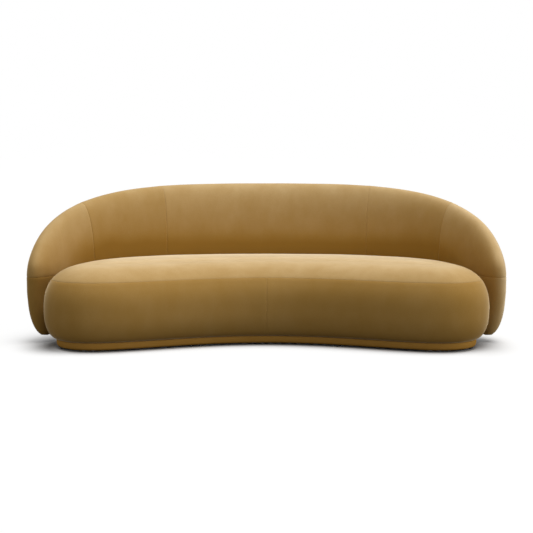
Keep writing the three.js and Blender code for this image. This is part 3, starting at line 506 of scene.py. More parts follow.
@dataclass(frozen=True)
class ZincSteel(Finish):
    """Zinc-plated steel: rolling marks and cloudy spangle."""

    colour: Colour = (0.560, 0.575, 0.590)
    dulled: float = 0.66
    spangle: float = 0.007
    mark: float = 0.0012
    mark_stretch: Stretch = (1.0, 0.1, 1.0)
    relief: float = 0.0001

    def paint(self, shader: Shader) -> None:
        """Paint the spangle and the rolling marks.

        Args:
            shader: The material to paint.
        """
        spangle = shader.clouds(self.spangle, 3.0)
        marks = shader.clouds(self.mark, 1.0, self.mark_stretch)
        tone = (0.5 + spangle + marks * 0.4).held()
        colour = shader.ramp(tone, [(0.2, tinted(self.colour, self.dulled)), (0.8, self.colour)])
        shader.dress({"Base Color": colour, "Metallic": 1.0, "Roughness": 0.38 + spangle * 0.25})
        shader.relief(0.5 + marks, self.relief, 0.4)


VELVET = Velvet("velvet_ochre")
PLINTH_VELVET = Velvet(
    "velvet_plinth",
    crushed_and_shaded=(0.270, 0.128, 0.018),
    body=(0.480, 0.242, 0.044),
    painted_highlight=(0.660, 0.380, 0.110),
    sheen=0.05,
)
THREAD = Thread("seam_thread")
DUST_CLOTH = DustCloth("dust_cloth_black")
WEBBING = Webbing("webbing_black")
FOAM = Foam("foam_cream")
PLYWOOD = Plywood("plywood_birch")
PLASTIC = MouldedPlastic("plastic_black")
STEEL = ZincSteel("steel_zinc")


def power_of(value: Array, exponent: float) -> Array:
    """Return a power that reads zero where rounding leaves a tiny negative number."""
    return np.maximum(value, 0.0) ** exponent


def smooth(share: Array) -> Array:
    """Return a share that eases in and out."""
    return share**2 * (3.0 - 2.0 * share)


def put(name: str, data: Any) -> bpy.types.Object:
    """Add an object to the scene.

    Args:
        name: Its name.
        data: Its mesh, lamp or camera.

    Returns:
        The object.
    """
    made = bpy.data.objects.new(name, data)
    bpy.context.scene.collection.objects.link(made)
    return made


def each_ray(values: Array, count: int) -> Array:
    """Return one value for each ring as a grid, repeated for every ray."""
    return np.repeat(values[:, None], count, axis=1)


def quarter(angle: Array, roundness: float) -> tuple[Array, Array]:
    """Follow a quarter of a superellipse.

    Args:
        angle: Angles from its start, in radians.
        roundness: Its exponent: 2 is a circle, and more is squarer.

    Returns:
        How far in and how far up it has gone, as shares.
    """
    inward = 1.0 - power_of(np.cos(angle), 2.0 / roundness)
    return inward, power_of(np.sin(angle), 2.0 / roundness)


def angle_at_rise(share: float, roundness: float) -> float:
    """Return the angle at which a quarter has risen by a share of its height."""
    return math.asin(min(max(share, 0.0) ** (roundness / 2.0), 1.0))


def steps_near(
    start: float, stop: float, pitch: float, seams: Sequence[float], reach: Sequence[float]
) -> Array:
    """Spread places between two ends, closer together beside seams.

    Args:
        start: The first place.
        stop: The last place.
        pitch: The widest spacing.
        seams: The places that get a cluster.
        reach: The distances of a cluster's places from its seam.

    Returns:
        The places, in order.
    """
    count = max(int(math.ceil((stop - start) / pitch)), 2)
    even = np.linspace(start, stop, count + 1)
    close = [seam + side * step for seam in seams for step in reach for side in (-1.0, 1.0)]
    inside = [place for place in close if start <= place <= stop]
    if not inside:
        return even
    gap = reach[-1] * CLUSTER_CLEARANCE
    far = [p for p in even[1:-1] if all(abs(p - seam) > gap for seam in seams)]
    places = np.array([start, *far, *inside, stop])
    return np.unique(np.round(places, 7))



@dataclass(frozen=True)
class SeamCut:
    """How a plain seam sinks between two panels and how the padding swells beside it."""

    depth: float = 0.0011
    width: float = 0.0020
    steepness: float = 1.6
    swell: float = 0.0007
    swell_at: float = 0.013

    def dip(self, distance: Array) -> Array:
        """Work out how deep the cloth lies.

        Args:
            distance: Distances from the seam, in metres.

        Returns:
            The depths, in metres.
        """
        sunk = self.depth * np.exp(-((distance / self.width) ** self.steepness))
        raised = self.swell * np.exp(-(((distance - self.swell_at) / self.swell_at) ** 2))
        return sunk - raised


@dataclass
class Skin:
    """A padded panel while it is laid out: places outside and inside, and what each point carries."""

    outer: list[Array] = field(default_factory=list)
    inner: list[Array] = field(default_factory=list)
    dip: list[Array] = field(default_factory=list)
    nap: list[Array] = field(default_factory=list)
    faces: list[tuple[int, int, int, int]] = field(default_factory=list)
    count: int = 0

    def add_grid(self, outer: Array, inner: Array, dip: Array, nap: Array, loop: bool = False) -> None:
        """Add a grid of points.

        Args:
            outer: Places outside, rows by columns by three.
            inner: Places inside, of the same shape.
            dip: How deep the seams sink each point, rows by columns.
            nap: Each point's tone: the pile's own, with painted light and shade added, rows by columns.
            loop: Whether the last column joins the first.
        """
        rows, columns = outer.shape[:2]
        start = self.count
        for row in range(rows - 1):
            for column in range(columns if loop else columns - 1):
                beside = (column + 1) % columns
                low, high = start + row * columns, start + (row + 1) * columns
                self.faces.append((low + column, low + beside, high + beside, high + column))
        self.outer.append(outer.reshape(-1, 3))
        self.inner.append(inner.reshape(-1, 3))
        self.dip.append(dip.reshape(-1))
        self.nap.append(nap.reshape(-1))
        self.count += rows * columns


@dataclass
class Sheet:
    """A panel's welded cloth: points outside and inside, what they carry, and how they join."""

    outer: Array
    inner: Array
    dip: Array
    nap: Array
    faces: list[list[int]]
    edges: list[tuple[int, int]]

    def hems(self) -> list[int]:
        """Return the points on the open edges, which are sewn down."""
        return sorted({i for edge in self.edges for i in edge})


@dataclass(frozen=True)
class Upholsterer:
    """Turns a laid-out skin into a closed, padded piece.

    The skin is welded, left to swell like cloth under a light pressure, sunk along its seams, and
    closed with its inner face.
    """

    weld: float = 2e-5
    uneven: float = 0.0009
    uneven_size: float = 0.17
    # Painted light on upward faces, and the power that shapes painted light on right-facing faces.
    upward_painted_light: float = 0.20
    rightward_painted_light_power: float = 0.5
    pressure: float = 1.5
    frames: int = 20
    quality: int = 4
    tension: float = 60.0
    compression: float = 30.0
    bending: float = 2.0
    swell_cap: float = 0.0010
    drawn_smooth: int = 40

    def pad(
        self, name: str, skin: Skin, finish: Finish, fill: float = 0.85, rightward_painted_light: float = 0.0
    ) -> bpy.types.Object:
        """Make the panel.

        Args:
            name: The piece's name.
            skin: Its layout.
            finish: What covers it.
            fill: Not used.
            rightward_painted_light: How much painted light it gets where it faces right, and painted shade
                where it faces left.

        Returns:
            The finished object, which rides on the sofa.
        """
        sheet = self._welded(skin)
        normals = self._normals(sheet)
        sheet.outer = sheet.outer + self._swelling(sheet, normals)
        sheet.outer = sheet.outer - normals * sheet.dip[:, None]
        sheet.outer = sheet.outer + normals * self._unevenness(sheet.outer)[:, None]
        # Painted light and shade: upward and right-facing points are made paler, downward and left-facing
        # ones darker.
        rightward_facing = normals[:, 0] * np.abs(normals[:, 0]) ** self.rightward_painted_light_power
        sheet.nap = sheet.nap + self.upward_painted_light * normals[:, 2] + rightward_painted_light * rightward_facing
        made = self._closed(name, sheet)
        made.data.materials.append(finish.material())
        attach(made, BODY)
        log.info("%s: %d faces", name, len(made.data.polygons))
        return made

    def _welded(self, skin: Skin) -> Sheet:
        """Join points that share a place.

        Args:
            skin: The panel's layout.

        Returns:
            Its cloth, with each place's first point kept.
        """
        outer = np.concatenate(skin.outer)
        bm = bmesh.new()
        number = bm.verts.layers.int.new("number")
        for i, place in enumerate(outer):
            bm.verts.new(place)[number] = i
        bm.verts.ensure_lookup_table()
        for corners in skin.faces:
            bm.faces.new([bm.verts[i] for i in corners])
        bmesh.ops.remove_doubles(bm, verts=bm.verts, dist=self.weld)
        bmesh.ops.dissolve_degenerate(bm, dist=self.weld / 4, edges=bm.edges)
        bmesh.ops.recalc_face_normals(bm, faces=bm.faces)
        bm.verts.index_update()
        bm.verts.ensure_lookup_table()
        kept = np.array([vert[number] for vert in bm.verts])
        faces = [[vert.index for vert in face.verts] for face in bm.faces]
        edges = []
        for edge in bm.edges:
            if edge.is_boundary:
                loop = edge.link_loops[0]
                edges.append((loop.vert.index, loop.link_loop_next.vert.index))
        bm.free()
        carried = [np.concatenate(values)[kept] for values in (skin.inner, skin.dip, skin.nap)]
        return Sheet(outer[kept], *carried, faces, edges)

    @staticmethod
    def _normals(sheet: Sheet) -> Array:
        """Find the directions out of the padding.

        Args:
            sheet: The cloth.

        Returns:
            Each outer point's direction.
        """
        mesh = bpy.data.meshes.new("normals")
        mesh.from_pydata(sheet.outer.tolist(), [], sheet.faces)
        normals = np.zeros(len(sheet.outer) * 3)
        mesh.vertices.foreach_get("normal", normals)
        bpy.data.meshes.remove(mesh)
        normals = normals.reshape(-1, 3)
        outward = np.sum(normals * (sheet.outer - sheet.inner), axis=1)
        return normals * (1.0 if outward.sum() > 0 else -1.0)

    def _unevenness(self, outer: Array) -> Array:
        """Return how far the hand-laid padding stands out at each point."""
        scaled = outer / self.uneven_size
        return np.array([noise.noise(Vector(place)) for place in scaled]) * self.uneven

    def _swelling(self, sheet: Sheet, normals: Array) -> Array:
        """Let the cloth swell between its sewn edges under a light pressure.

        Args:
            sheet: The cloth.
            normals: The direction out of the padding at each point.

        Returns:
            How far each point moves, held to the cap.
        """
        if self.pressure <= 0:
            return np.zeros_like(sheet.outer)
        rise = np.sum((self._blown(sheet) - sheet.outer) * normals, axis=1)
        rise = self.swell_cap * np.tanh(rise / self.swell_cap)
        return normals * self._evened(rise, sheet)[:, None]

    def _blown(self, sheet: Sheet) -> Array:
        """Run the cloth's simulation, with its hems held where they are.

        Args:
            sheet: The cloth.

        Returns:
            Where each outer point comes to rest.
        """
        mesh = bpy.data.meshes.new("cloth")
        mesh.from_pydata(sheet.outer.tolist(), [], sheet.faces)
        cloth = put("cloth", mesh)
        cloth.vertex_groups.new(name="sewn").add(sheet.hems(), 1.0, "REPLACE")
        modifier = cloth.modifiers.new("cloth", "CLOTH")
        settings = modifier.settings
        settings.quality = self.quality
        settings.vertex_group_mass = "sewn"
        settings.tension_stiffness = self.tension
        settings.compression_stiffness = self.compression
        settings.bending_stiffness = self.bending
        settings.use_pressure = True
        settings.uniform_pressure_force = self.pressure
        settings.effector_weights.gravity = 0.0
        modifier.collision_settings.use_collision = False
        scene = bpy.context.scene
        scene.frame_start, scene.frame_end = 1, self.frames
        for moment in range(1, self.frames + 1):
            scene.frame_set(moment)
        evaluated = cloth.evaluated_get(bpy.context.evaluated_depsgraph_get()).data
        moved = np.zeros(len(sheet.outer) * 3)
        evaluated.vertices.foreach_get("co", moved)
        scene.frame_set(1)
        bpy.data.objects.remove(cloth)
        bpy.data.meshes.remove(mesh)
        return moved.reshape(-1, 3)

    def _evened(self, rise: Array, sheet: Sheet) -> Array:
        """Smooth the swelling over the faces, and hold it at nothing along the hems.

        Args:
            rise: How far each point has risen.
            sheet: The cloth.

        Returns:
            The smoothed rise of each point.
        """
        hems, corners = sheet.hems(), np.concatenate(sheet.faces)
        owners = np.repeat(np.arange(len(sheet.faces)), [len(face) for face in sheet.faces])
        sizes, shares = np.bincount(owners), np.bincount(corners, minlength=len(rise))
        for _ in range(self.drawn_smooth):
            level = np.bincount(owners, rise[corners]) / sizes
            rise = np.bincount(corners, level[owners], len(rise)) / np.maximum(shares, 1)
            rise[hems] = 0.0
        return rise

    @staticmethod
    def _closed(name: str, sheet: Sheet) -> bpy.types.Object:
        """Close the piece with its inner face and its edges.

        Args:
            name: The piece's name.
            sheet: Its cloth, whose tone with painted light and shade the finished points carry.

        Returns:
            The closed object.
        """
        shift = len(sheet.outer)
        backs = [[corner + shift for corner in reversed(face)] for face in sheet.faces]
        walls = [[b, a, a + shift, b + shift] for a, b in sheet.edges]
        bm = bmesh.new()
        layer = bm.verts.layers.float.new("nap")
        verts = [bm.verts.new(place) for place in np.concatenate([sheet.outer, sheet.inner])]
        for vert, amount in zip(verts, np.concatenate([sheet.nap, sheet.nap])):
            vert[layer] = float(amount)
        for face in sheet.faces:
            bm.faces.new([verts[i] for i in face]).smooth = True
        for face in [*backs, *walls]:
            bm.faces.new([verts[i] for i in face])
        bmesh.ops.remove_doubles(bm, verts=verts[shift:], dist=TOUCHING)
        bmesh.ops.recalc_face_normals(bm, faces=bm.faces)
        mesh = bpy.data.meshes.new(name)
        bm.to_mesh(mesh)
        bm.free()
        return put(name, mesh)


@dataclass(frozen=True)
class SeatForm:
    """The seat's sizes in metres, as in the part's source."""

    half_width: float = 1.095
    rear_reach: float = 0.660
    rear_roundness: float = 2.1
    front_reach: float = 0.535
    front_roundness: float = 2.05
    hollow_depth: float = 0.518
    hollow_power: float = 2.0
    end_radius: float = 0.3407420
    bottom: float = 0.046
    fullest: float = 0.181
    seam_height: float = 0.338
    edge_top: float = 0.405
    crown: float = 0.009
    under_roll: float = 0.076
    under_roundness: float = 2.19
    top_roll: float = 0.248
    top_roundness: float = 2.6
    rear_roll: float = 0.070
    rear_roll_fade: float = 4.0
    hem_width: float = 0.030
    footprint_shift: float = -0.3136427
    outline_steps: int = 5000

    def rear_edge(self, x: Array) -> Array:
        """Return the rear edge's Y at distances from the centre line."""
        side = power_of(x / self.half_width, self.rear_roundness)
        return self.rear_reach * power_of(1.0 - side, 1.0 / self.rear_roundness)

    def front_edge(self, x: Array) -> Array:
        """Follow the front edge with its hollow.

        Args:
            x: Distances from the centre line.

        Returns:
            The edge's Y at each distance.
        """
        side = power_of(x / self.half_width, self.front_roundness)
        hollow = self.hollow_depth * power_of(1.0 - (x / self.half_width) ** 2, self.hollow_power)
        return hollow - self.front_reach * power_of(1.0 - side, 1.0 / self.front_roundness)

    def edge_points(self, edge: Callable[[Array], Array], roundness: float) -> Array:
        """Walk along the right half of an edge, from the centre line outwards.

        Args:
            edge: The edge's Y at distances from the centre line.
            roundness: The edge's exponent.

        Returns:
            Its points, in plan.
        """
        turn = np.linspace(0.0, math.pi / 2, self.outline_steps + 1)
        x = self.half_width * power_of(np.sin(turn), 2.0 / roundness)
        return np.stack([x, edge(x)], axis=1)

    @property
    def seam_angle(self) -> float:
        """Return the angle of the upper roll at which the seat's long seam runs."""
        share = (self.seam_height - self.fullest) / (self.edge_top - self.fullest)
        return angle_at_rise(share, self.top_roundness)


@dataclass(frozen=True)
class SeatRays:
    """Rays from the seat's outline to its middle line, once round the seat."""

    form: SeatForm
    edge: Array
    inward: Array
    length: Array
    top_roll: Array

    @property
    def count(self) -> int:
        """Return how many rays there are."""
        return len(self.length)

    def part(self, rows: Array) -> "SeatRays":
        """Return some of the rays."""
        kept = [values[rows] for values in (self.edge, self.inward, self.length, self.top_roll)]
        return SeatRays(self.form, *kept)

    def places(self, inset: Array, height: Array) -> Array:
        """Return the places at insets and heights, rings by rays by three.

        Args:
            inset: Distances in from the outline, rings by rays.
            height: Heights, one for each ring and ray.

        Returns:
            The places in the sofa's frame.
        """
        flat = self.edge[None] + self.inward[None] * inset[..., None]
        return np.stack([flat[..., 0], flat[..., 1] + self.form.footprint_shift, height], axis=-1)

    def ring(self, inset: float, height: float) -> Array:
        """Return one ring of places at one inset and height."""
        shape = (1, self.count)
        return self.places(np.full(shape, inset), np.full(shape, height))[0]

    def roll(self, angles: Array) -> tuple[Array, Array]:
        """Follow the seat's upper roll.

        Args:
            angles: The angles of the rings, from the fullest line upwards.

        Returns:
            Insets and heights, rings by rays.
        """
        inward, rise = quarter(angles, self.form.top_roundness)
        height = self.form.fullest + (self.form.edge_top - self.form.fullest) * rise
        return inward[:, None] * self.top_roll[None], each_ray(height, self.count)


def seat_rays(form: SeatForm, pitch: float = 0.014, end_steps: int = 72) -> SeatRays:
    """Lay rays over the seat.

    Args:
        form: The seat's sizes.
        pitch: The spacing of the rays along the middle line.
        end_steps: How many steps each rounded end takes.

    Returns:
        The rays from the rear centre round the right end to the front centre, and back by the left.
    """
    end_x = form.half_width - form.end_radius
    spots = steps_near(0.0, end_x, pitch, [0.0], SEAM_CLUSTER)
    centres = np.stack([spots, (form.rear_edge(spots) + form.front_edge(spots)) / 2], axis=1)
    rear_points = form.edge_points(form.rear_edge, form.rear_roundness)
    front_points = form.edge_points(form.front_edge, form.front_roundness)

    def feet(points: Array) -> Array:
        """Find the foot of each centre.

        Args:
            points: The outline's points.

        Returns:
            The outline's nearest point to each centre.
        """
        distance = np.linalg.norm(points[None] - centres[:, None], axis=2)
        nearest = points[distance.argmin(axis=1)].copy()
        nearest[0, 0] = 0.0
        return nearest

    rear, front = feet(rear_points), feet(front_points)
    end = centres[-1]
    ends = [rear_points[rear_points[:, 0] > rear[-1, 0]], front_points[front_points[:, 0] > front[-1, 0]]]
    outline = np.concatenate(ends)
    bearing = np.arctan2(outline[:, 1] - end[1], outline[:, 0] - end[0])
    order = np.argsort(bearing)
    first = math.atan2(rear[-1, 1] - end[1], rear[-1, 0] - end[0])
    last = math.atan2(front[-1, 1] - end[1], front[-1, 0] - end[0])
    turns = np.linspace(first, last, end_steps + 1)[1:-1]
    fan = np.stack([np.interp(turns, bearing[order], outline[order, axis]) for axis in (0, 1)], axis=1)
    edge = np.concatenate([rear, fan, front[::-1]])
    middle = np.concatenate([centres, np.repeat(end[None], len(fan), axis=0), centres[::-1]])
    mirror = np.array([-1.0, 1.0])
    edge = np.concatenate([edge, (edge * mirror)[::-1][1:-1]])
    middle = np.concatenate([middle, (middle * mirror)[::-1][1:-1]])
    inward = middle - edge
    length = np.linalg.norm(inward, axis=1)
    inward = inward / length[:, None]
    faded = 1.0 - np.abs(edge[:, 0] / form.half_width) ** form.rear_roll_fade
    rear_share = np.where(edge[:, 1] > 0, faded, 0.0)
    roll = form.top_roll + (form.rear_roll - form.top_roll) * rear_share
    return SeatRays(form, edge, inward, length, roll)


@dataclass
class SeatUpholstery:
    """The seat's velvet: a crowned top panel, and a side band in two halves."""

    form: SeatForm = field(default_factory=SeatForm)
    seam: SeamCut = field(default_factory=SeamCut)
    padding: float = 0.033
    tuck: float = 0.002
    core_bottom: float = 0.271
    crown_rings: int = 14
    under_rings: int = 14
    hem_tuck: float = 0.001
    hem_rise: float = 0.003
    roll_pitch: float = 0.05
    metres_per_radian: float = 0.196
    # Painted light and shade in the seat's tone: the top paler up its roll and at the rear, painted shade and
    # a painted rim highlight where the band turns to the ends.
    band_pile_and_light_level: float = 0.30
    band_fall: float = 0.10
    top_pile_and_light_level: float = 0.335
    top_painted_light_rise: float = 0.21
    top_power: float = 4.4
    rear_painted_highlight: float = 0.40
    rear_power: float = 1.3
    end_painted_rim_highlight: dict[Hand, float] = field(default_factory=lambda: {Hand.LEFT: 0.10, Hand.RIGHT: 0.50})
    end_power: float = 4.0
    end_painted_shade: dict[Hand, float] = field(default_factory=lambda: {Hand.LEFT: 0.07, Hand.RIGHT: 0.20})
    dim_power: float = 1.5

    def _seam_angles(self, start: float, stop: float) -> Array:
        """Return roll angles between two ends, closer together beside the long seam."""
        reach = [step / self.metres_per_radian for step in SEAM_CLUSTER]
        return steps_near(start, stop, self.roll_pitch, [self.form.seam_angle], reach)

    @staticmethod
    def _along(places: Array, start: int) -> Array:
        """Measure over the surface from one ring.

        Args:
            places: The places, rings by rays by three.
            start: The ring's number.

        Returns:
            Each place's distance from that ring along its own ray.
        """
        steps = np.linalg.norm(np.diff(places, axis=0), axis=2)
        run = np.concatenate([np.zeros((1, places.shape[1])), np.cumsum(steps, axis=0)])
        return np.abs(run - run[start][None])

    def _top_pile_and_painted_light(self, rays: SeatRays, inset: Array, height: Array) -> Array:
        """Work out the top panel's tone, with painted light.

        Args:
            rays: The seat's rays.
            inset: The points' insets.
            height: The points' heights.

        Returns:
            Each point's tone, which painted light makes paler up the roll and towards the rear.
        """
        form = self.form
        risen = (height - form.seam_height) / (form.edge_top + form.crown - form.seam_height)
        rear = power_of(-rays.inward[:, 1], self.rear_power)[None]
        level = np.maximum(power_of(np.minimum(risen, 1.0), self.top_power), rear)
        rearward = rear * (1.0 - inset / rays.length[None])
        return self.top_pile_and_light_level + self.top_painted_light_rise * level + self.rear_painted_highlight * rearward

    def top(self, rays: SeatRays, maker: Upholsterer) -> bpy.types.Object:
        """Make the crowned top panel, down to the underside of its foam.

        Args:
            rays: The seat's rays.
            maker: What pads it.

        Returns:
            The finished panel.
        """
        form, length = self.form, rays.length[None]
        inset, height = rays.roll(self._seam_angles(form.seam_angle, math.pi / 2))
        shares = np.linspace(0.0, 1.0, self.crown_rings + 1)[1:]
        crown_inset = rays.top_roll[None] + (rays.length - rays.top_roll)[None] * shares[:, None]
        crown_height = form.edge_top + form.crown * smooth(shares)
        inset = np.concatenate([inset, crown_inset])
        height = np.concatenate([height, each_ray(crown_height, rays.count)])
        outer = rays.places(inset, height)
        three_quarters = (inset + length * 3.0) / 4.0
        step_in = np.minimum(inset + self.padding + self.tuck, three_quarters)
        under_inset = np.where(inset >= length - TOUCHING, length, step_in)
        under_height = np.full_like(height, self.core_bottom)
        under_height[0] = form.seam_height
        inner = rays.places(under_inset, under_height)
        dip = self.seam.dip(self._along(outer, 0))
        skin = Skin()
        skin.add_grid(outer, inner, dip, self._top_pile_and_painted_light(rays, inset, height), loop=True)
        made = maker.pad("seat_top_pad", skin, VELVET)
        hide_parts("seat_cover_top", "seat_topper", "seat_core_foam")
        return made

    def band(self, hand: Hand, rays: SeatRays, maker: Upholsterer) -> bpy.types.Object:
        """Make one half of the side band, from its hem up to the long seam.

        Args:
            hand: Which half.
            rays: The seat's rays.
            maker: What pads it.

        Returns:
            The finished half.
        """
        form = self.form
        middle = rays.count // 2
        if hand is Hand.RIGHT:
            rows = np.arange(0, middle + 1)
        else:
            rows = np.concatenate([np.arange(middle, rays.count), [0]])
        part = rays.part(rows)
        under = np.linspace(math.pi / 2, 0.0, self.under_rings)
        inward, rise = quarter(under, form.under_roundness)
        low_inset = each_ray(form.under_roll * inward, part.count)
        low_height = each_ray(form.fullest - (form.fullest - form.bottom) * rise, part.count)
        hem = np.full((1, part.count), form.under_roll + form.hem_width)
        up_inset, up_height = part.roll(self._seam_angles(0.0, form.seam_angle)[1:])
        inset = np.concatenate([hem, low_inset, up_inset])
        height = np.concatenate([np.full_like(hem, form.bottom), low_height, up_height])
        outer = part.places(inset, height)
        inner_height = np.maximum(height, form.bottom + self.hem_rise)
        inner_inset = inset + np.where(height > form.bottom, self.padding, self.hem_tuck)
        inner = part.places(inner_inset, inner_height)
        to_top, to_side = self._along(outer, len(inset) - 1), np.abs(outer[..., 0])
        dip = self.seam.dip(np.minimum(to_top, to_side))
        # The band's tone falls towards the long seam; where it turns to the ends it gets painted shade, and a
        # painted highlight rim right at the ends.
        above = (height - form.fullest) / (form.seam_height - form.fullest)
        turned = np.abs(part.inward[:, 0])[None]
        painted_highlight = self.end_painted_rim_highlight[hand] * turned**self.end_power
        dim = self.end_painted_shade[hand] * turned**self.dim_power
        skin = Skin()
        skin.add_grid(outer, inner, dip, self.band_pile_and_light_level - self.band_fall * above + painted_highlight - dim)
        made = maker.pad("seat_band_pad_" + hand.name.lower(), skin, VELVET)
        nodes = ["seat_band_" + hand.name.lower()]
        if hand is Hand.LEFT:
            nodes.append("seat_side_foam")
        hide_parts(*nodes)
        return made


@dataclass(frozen=True)
class Layer:
    """How deep a layer lies under the crest and under both faces, in metres."""

    crest: float
    face: float


@dataclass(frozen=True)
class WallForm:
    """The back wall's sizes in metres, as in the part's source."""

    seat: SeatForm = field(default_factory=SeatForm)
    gap: float = 0.010
    thickness: float = 0.207
    wing_thickness: float = 0.128
    tip_setback: float = 0.070
    top: float = 0.7695
    bottom: float = 0.034
    nose_height: float = 0.379
    nose_seam: float = 0.332
    fall_power: float = 3.5
    crest_roundness: float = 1.383
    nose_undercut: float = 0.088
    nose_roundness: float = 2.39
    nose_depth: float = 0.220
    roll: float = 0.237
    foot_roll: float = 0.110
    foot_cut: float = 0.02
    roundness: float = 2.2
    full_roll_reach: float = 0.05
    lean: float = 0.08
    wing_lean: float = 0.04
    wing_lean_from: float = 0.253
    foot_tuck: float = 0.030
    foot_tuck_power: float = 3.0
    side_seam_share: float = 0.3825
    corner_seam_share: float = 0.704
    longest_roll: float = 0.9
    seam_drift: float = 0.032
    drift_reach: float = 0.22


class Wall:
    """The back wall: turns a distance along it, a height and a depth into a place."""

    def __init__(self, form: WallForm) -> None:
        """Work out the wall's middle line.

        Args:
            form: The wall's sizes.
        """
        self.form = form
        seat = form.seat
        points = seat.edge_points(seat.rear_edge, seat.rear_roundness)
        points = points[points[:, 1] >= form.tip_setback]
        half = self._half(np.linspace(0.0, 1.0, len(points)))
        tangent = np.gradient(points, axis=0)
        tangent = tangent / np.linalg.norm(tangent, axis=1)[:, None]
        normal = np.stack([-tangent[:, 1], tangent[:, 0]], axis=1)
        normal[0] = (0.0, 1.0)
        line = points + normal * (form.gap + half)[:, None]
        run = np.concatenate([[0.0], np.cumsum(np.linalg.norm(np.diff(line, axis=0), axis=1))])
        self.run, self.line, self.length = run, line, float(run[-1])
        slope = np.gradient(line, run, axis=0)
        self.slope = slope / np.linalg.norm(slope, axis=1)[:, None]
        self.nose_centre = self.length - form.nose_depth
        self.side_seam = self.length * form.side_seam_share
        self.corner_seam = self.length * form.corner_seam_share

    def _half(self, share: Array) -> Array:
        """Return half the wall's thickness at shares of its length."""
        form = self.form
        return (form.thickness + (form.wing_thickness - form.thickness) * share**2) / 2

    def drift(self, along: Array) -> Array:
        """Return how far towards the centre the velvet's columns lean by the nose seam's height."""
        near = np.clip(1.0 - np.abs(along - self.corner_seam) / self.form.drift_reach, 0.0, 1.0)
        return self.form.seam_drift * smooth(near)

    def crest(self, along: Array) -> Array:
        """Follow the crest.

        Args:
            along: Distances along the wall from its centre.

        Returns:
            The crest's heights.
        """
        form = self.form
        share = power_of(along / self.length, form.fall_power)
        kept = power_of(1.0 - share, 1.0 / form.crest_roundness)
        return form.nose_height + (form.top - form.nose_height) * kept

    def nose(self, height: Array) -> Array:
        """Follow the nose's edge below its fullest.

        Args:
            height: Heights.

        Returns:
            How far along the wall the edge lies.
        """
        form = self.form
        share = (form.nose_height - height) / (form.nose_height - form.bottom)
        kept = power_of(1.0 - power_of(share, form.nose_roundness), 1.0 / form.nose_roundness)
        return self.length - form.nose_undercut * (1.0 - kept)

    def spots(self, along: Array, height: Array, offset: Array, sign: int) -> Array:
        """Return places.

        Args:
            along: Distances along the wall from its centre.
            height: Heights.
            offset: Distances from the wall's middle line, outwards.
            sign: The hand's sign.

        Returns:
            The places in the sofa's frame, with a last axis of three.
        """
        form = self.form
        share = np.minimum(along / self.length, 1.0)
        inboard = np.cos(math.pi / 2 * share) ** 2
        lean = form.lean * inboard * np.maximum(height - form.nose_height, 0.0)
        lean = lean - form.wing_lean * (1.0 - inboard) * np.maximum(height - form.wing_lean_from, 0.0)
        low = np.maximum(form.nose_height - height, 0.0) / (form.nose_height - form.bottom)
        out = offset + lean - form.foot_tuck * low**form.foot_tuck_power
        x = np.interp(along, self.run, self.line[:, 0])
        y = np.interp(along, self.run, self.line[:, 1])
        slope_x = np.interp(along, self.run, self.slope[:, 0])
        slope_y = np.interp(along, self.run, self.slope[:, 1])
        x = np.where(along < TOUCHING, 0.0, x - slope_y * out)
        y = y + slope_x * out + form.seat.footprint_shift
        return np.stack([sign * x, y, height], axis=-1)

    def layer_half(self, along: Array, layer: Layer) -> Array:
        """Return half the wall's thickness, less the layer's depth."""
        return self._half(np.minimum(along / self.length, 1.0)) - layer.face

    def grid(
        self, edge: Array, end: Array, foot: Array, stops: Array, layer: Layer
    ) -> tuple[Array, Array, Array]:
        """Follow rays from the wall's outline inwards, over its rolled edge and across its face.

        Args:
            edge: Each ray's outline point: along and height.
            end: Each ray's last point.
            foot: How far each ray starts at the wall's flat foot, from 0 to 1.
            stops: Stops on a ray: 0 to 1 over the roll, and 1 to 2 across the flat face.
            layer: The layer to follow.

        Returns:
            Distance along, height and half thickness at every stop of every ray.
        """
        form = self.form
        inward = end - edge
        inward = inward / np.linalg.norm(inward, axis=1)[:, None]
        crest = layer.crest * (1.0 - foot)
        start = edge + inward * crest[:, None]
        length = np.linalg.norm(end - start, axis=1)
        far = np.minimum(edge[:, 0] / self.length, 1.0)
        foot_roll = form.foot_roll + (form.roll - form.foot_roll) * far**2
        above = edge[:, 1] - (form.nose_seam - form.full_roll_reach)
        full = foot_roll + (form.roll - foot_roll) * np.clip(above / form.full_roll_reach, 0.0, 1.0)
        roll = np.minimum(full - crest, length * form.longest_roll)
        begin_share = form.foot_cut * foot
        begin = np.arccos(power_of(1.0 - begin_share, form.roundness / 2.0))
        over = np.minimum(stops, 1.0)[:, None]
        swept_in, rise = quarter(begin[None] + (math.pi / 2 - begin[None]) * over, form.roundness)
        on_roll = roll[None] * (swept_in - begin_share[None]) / (1.0 - begin_share[None])
        across = np.maximum(stops - 1.0, 0.0)[:, None]
        distance = np.where(across > 0, roll[None] + (length - roll)[None] * across, on_roll)
        place = start[None] + inward[None] * distance[..., None]
        half = self.layer_half(place[..., 0], layer) * np.where(across > 0, 1.0, rise)
        return place[..., 0], place[..., 1], half


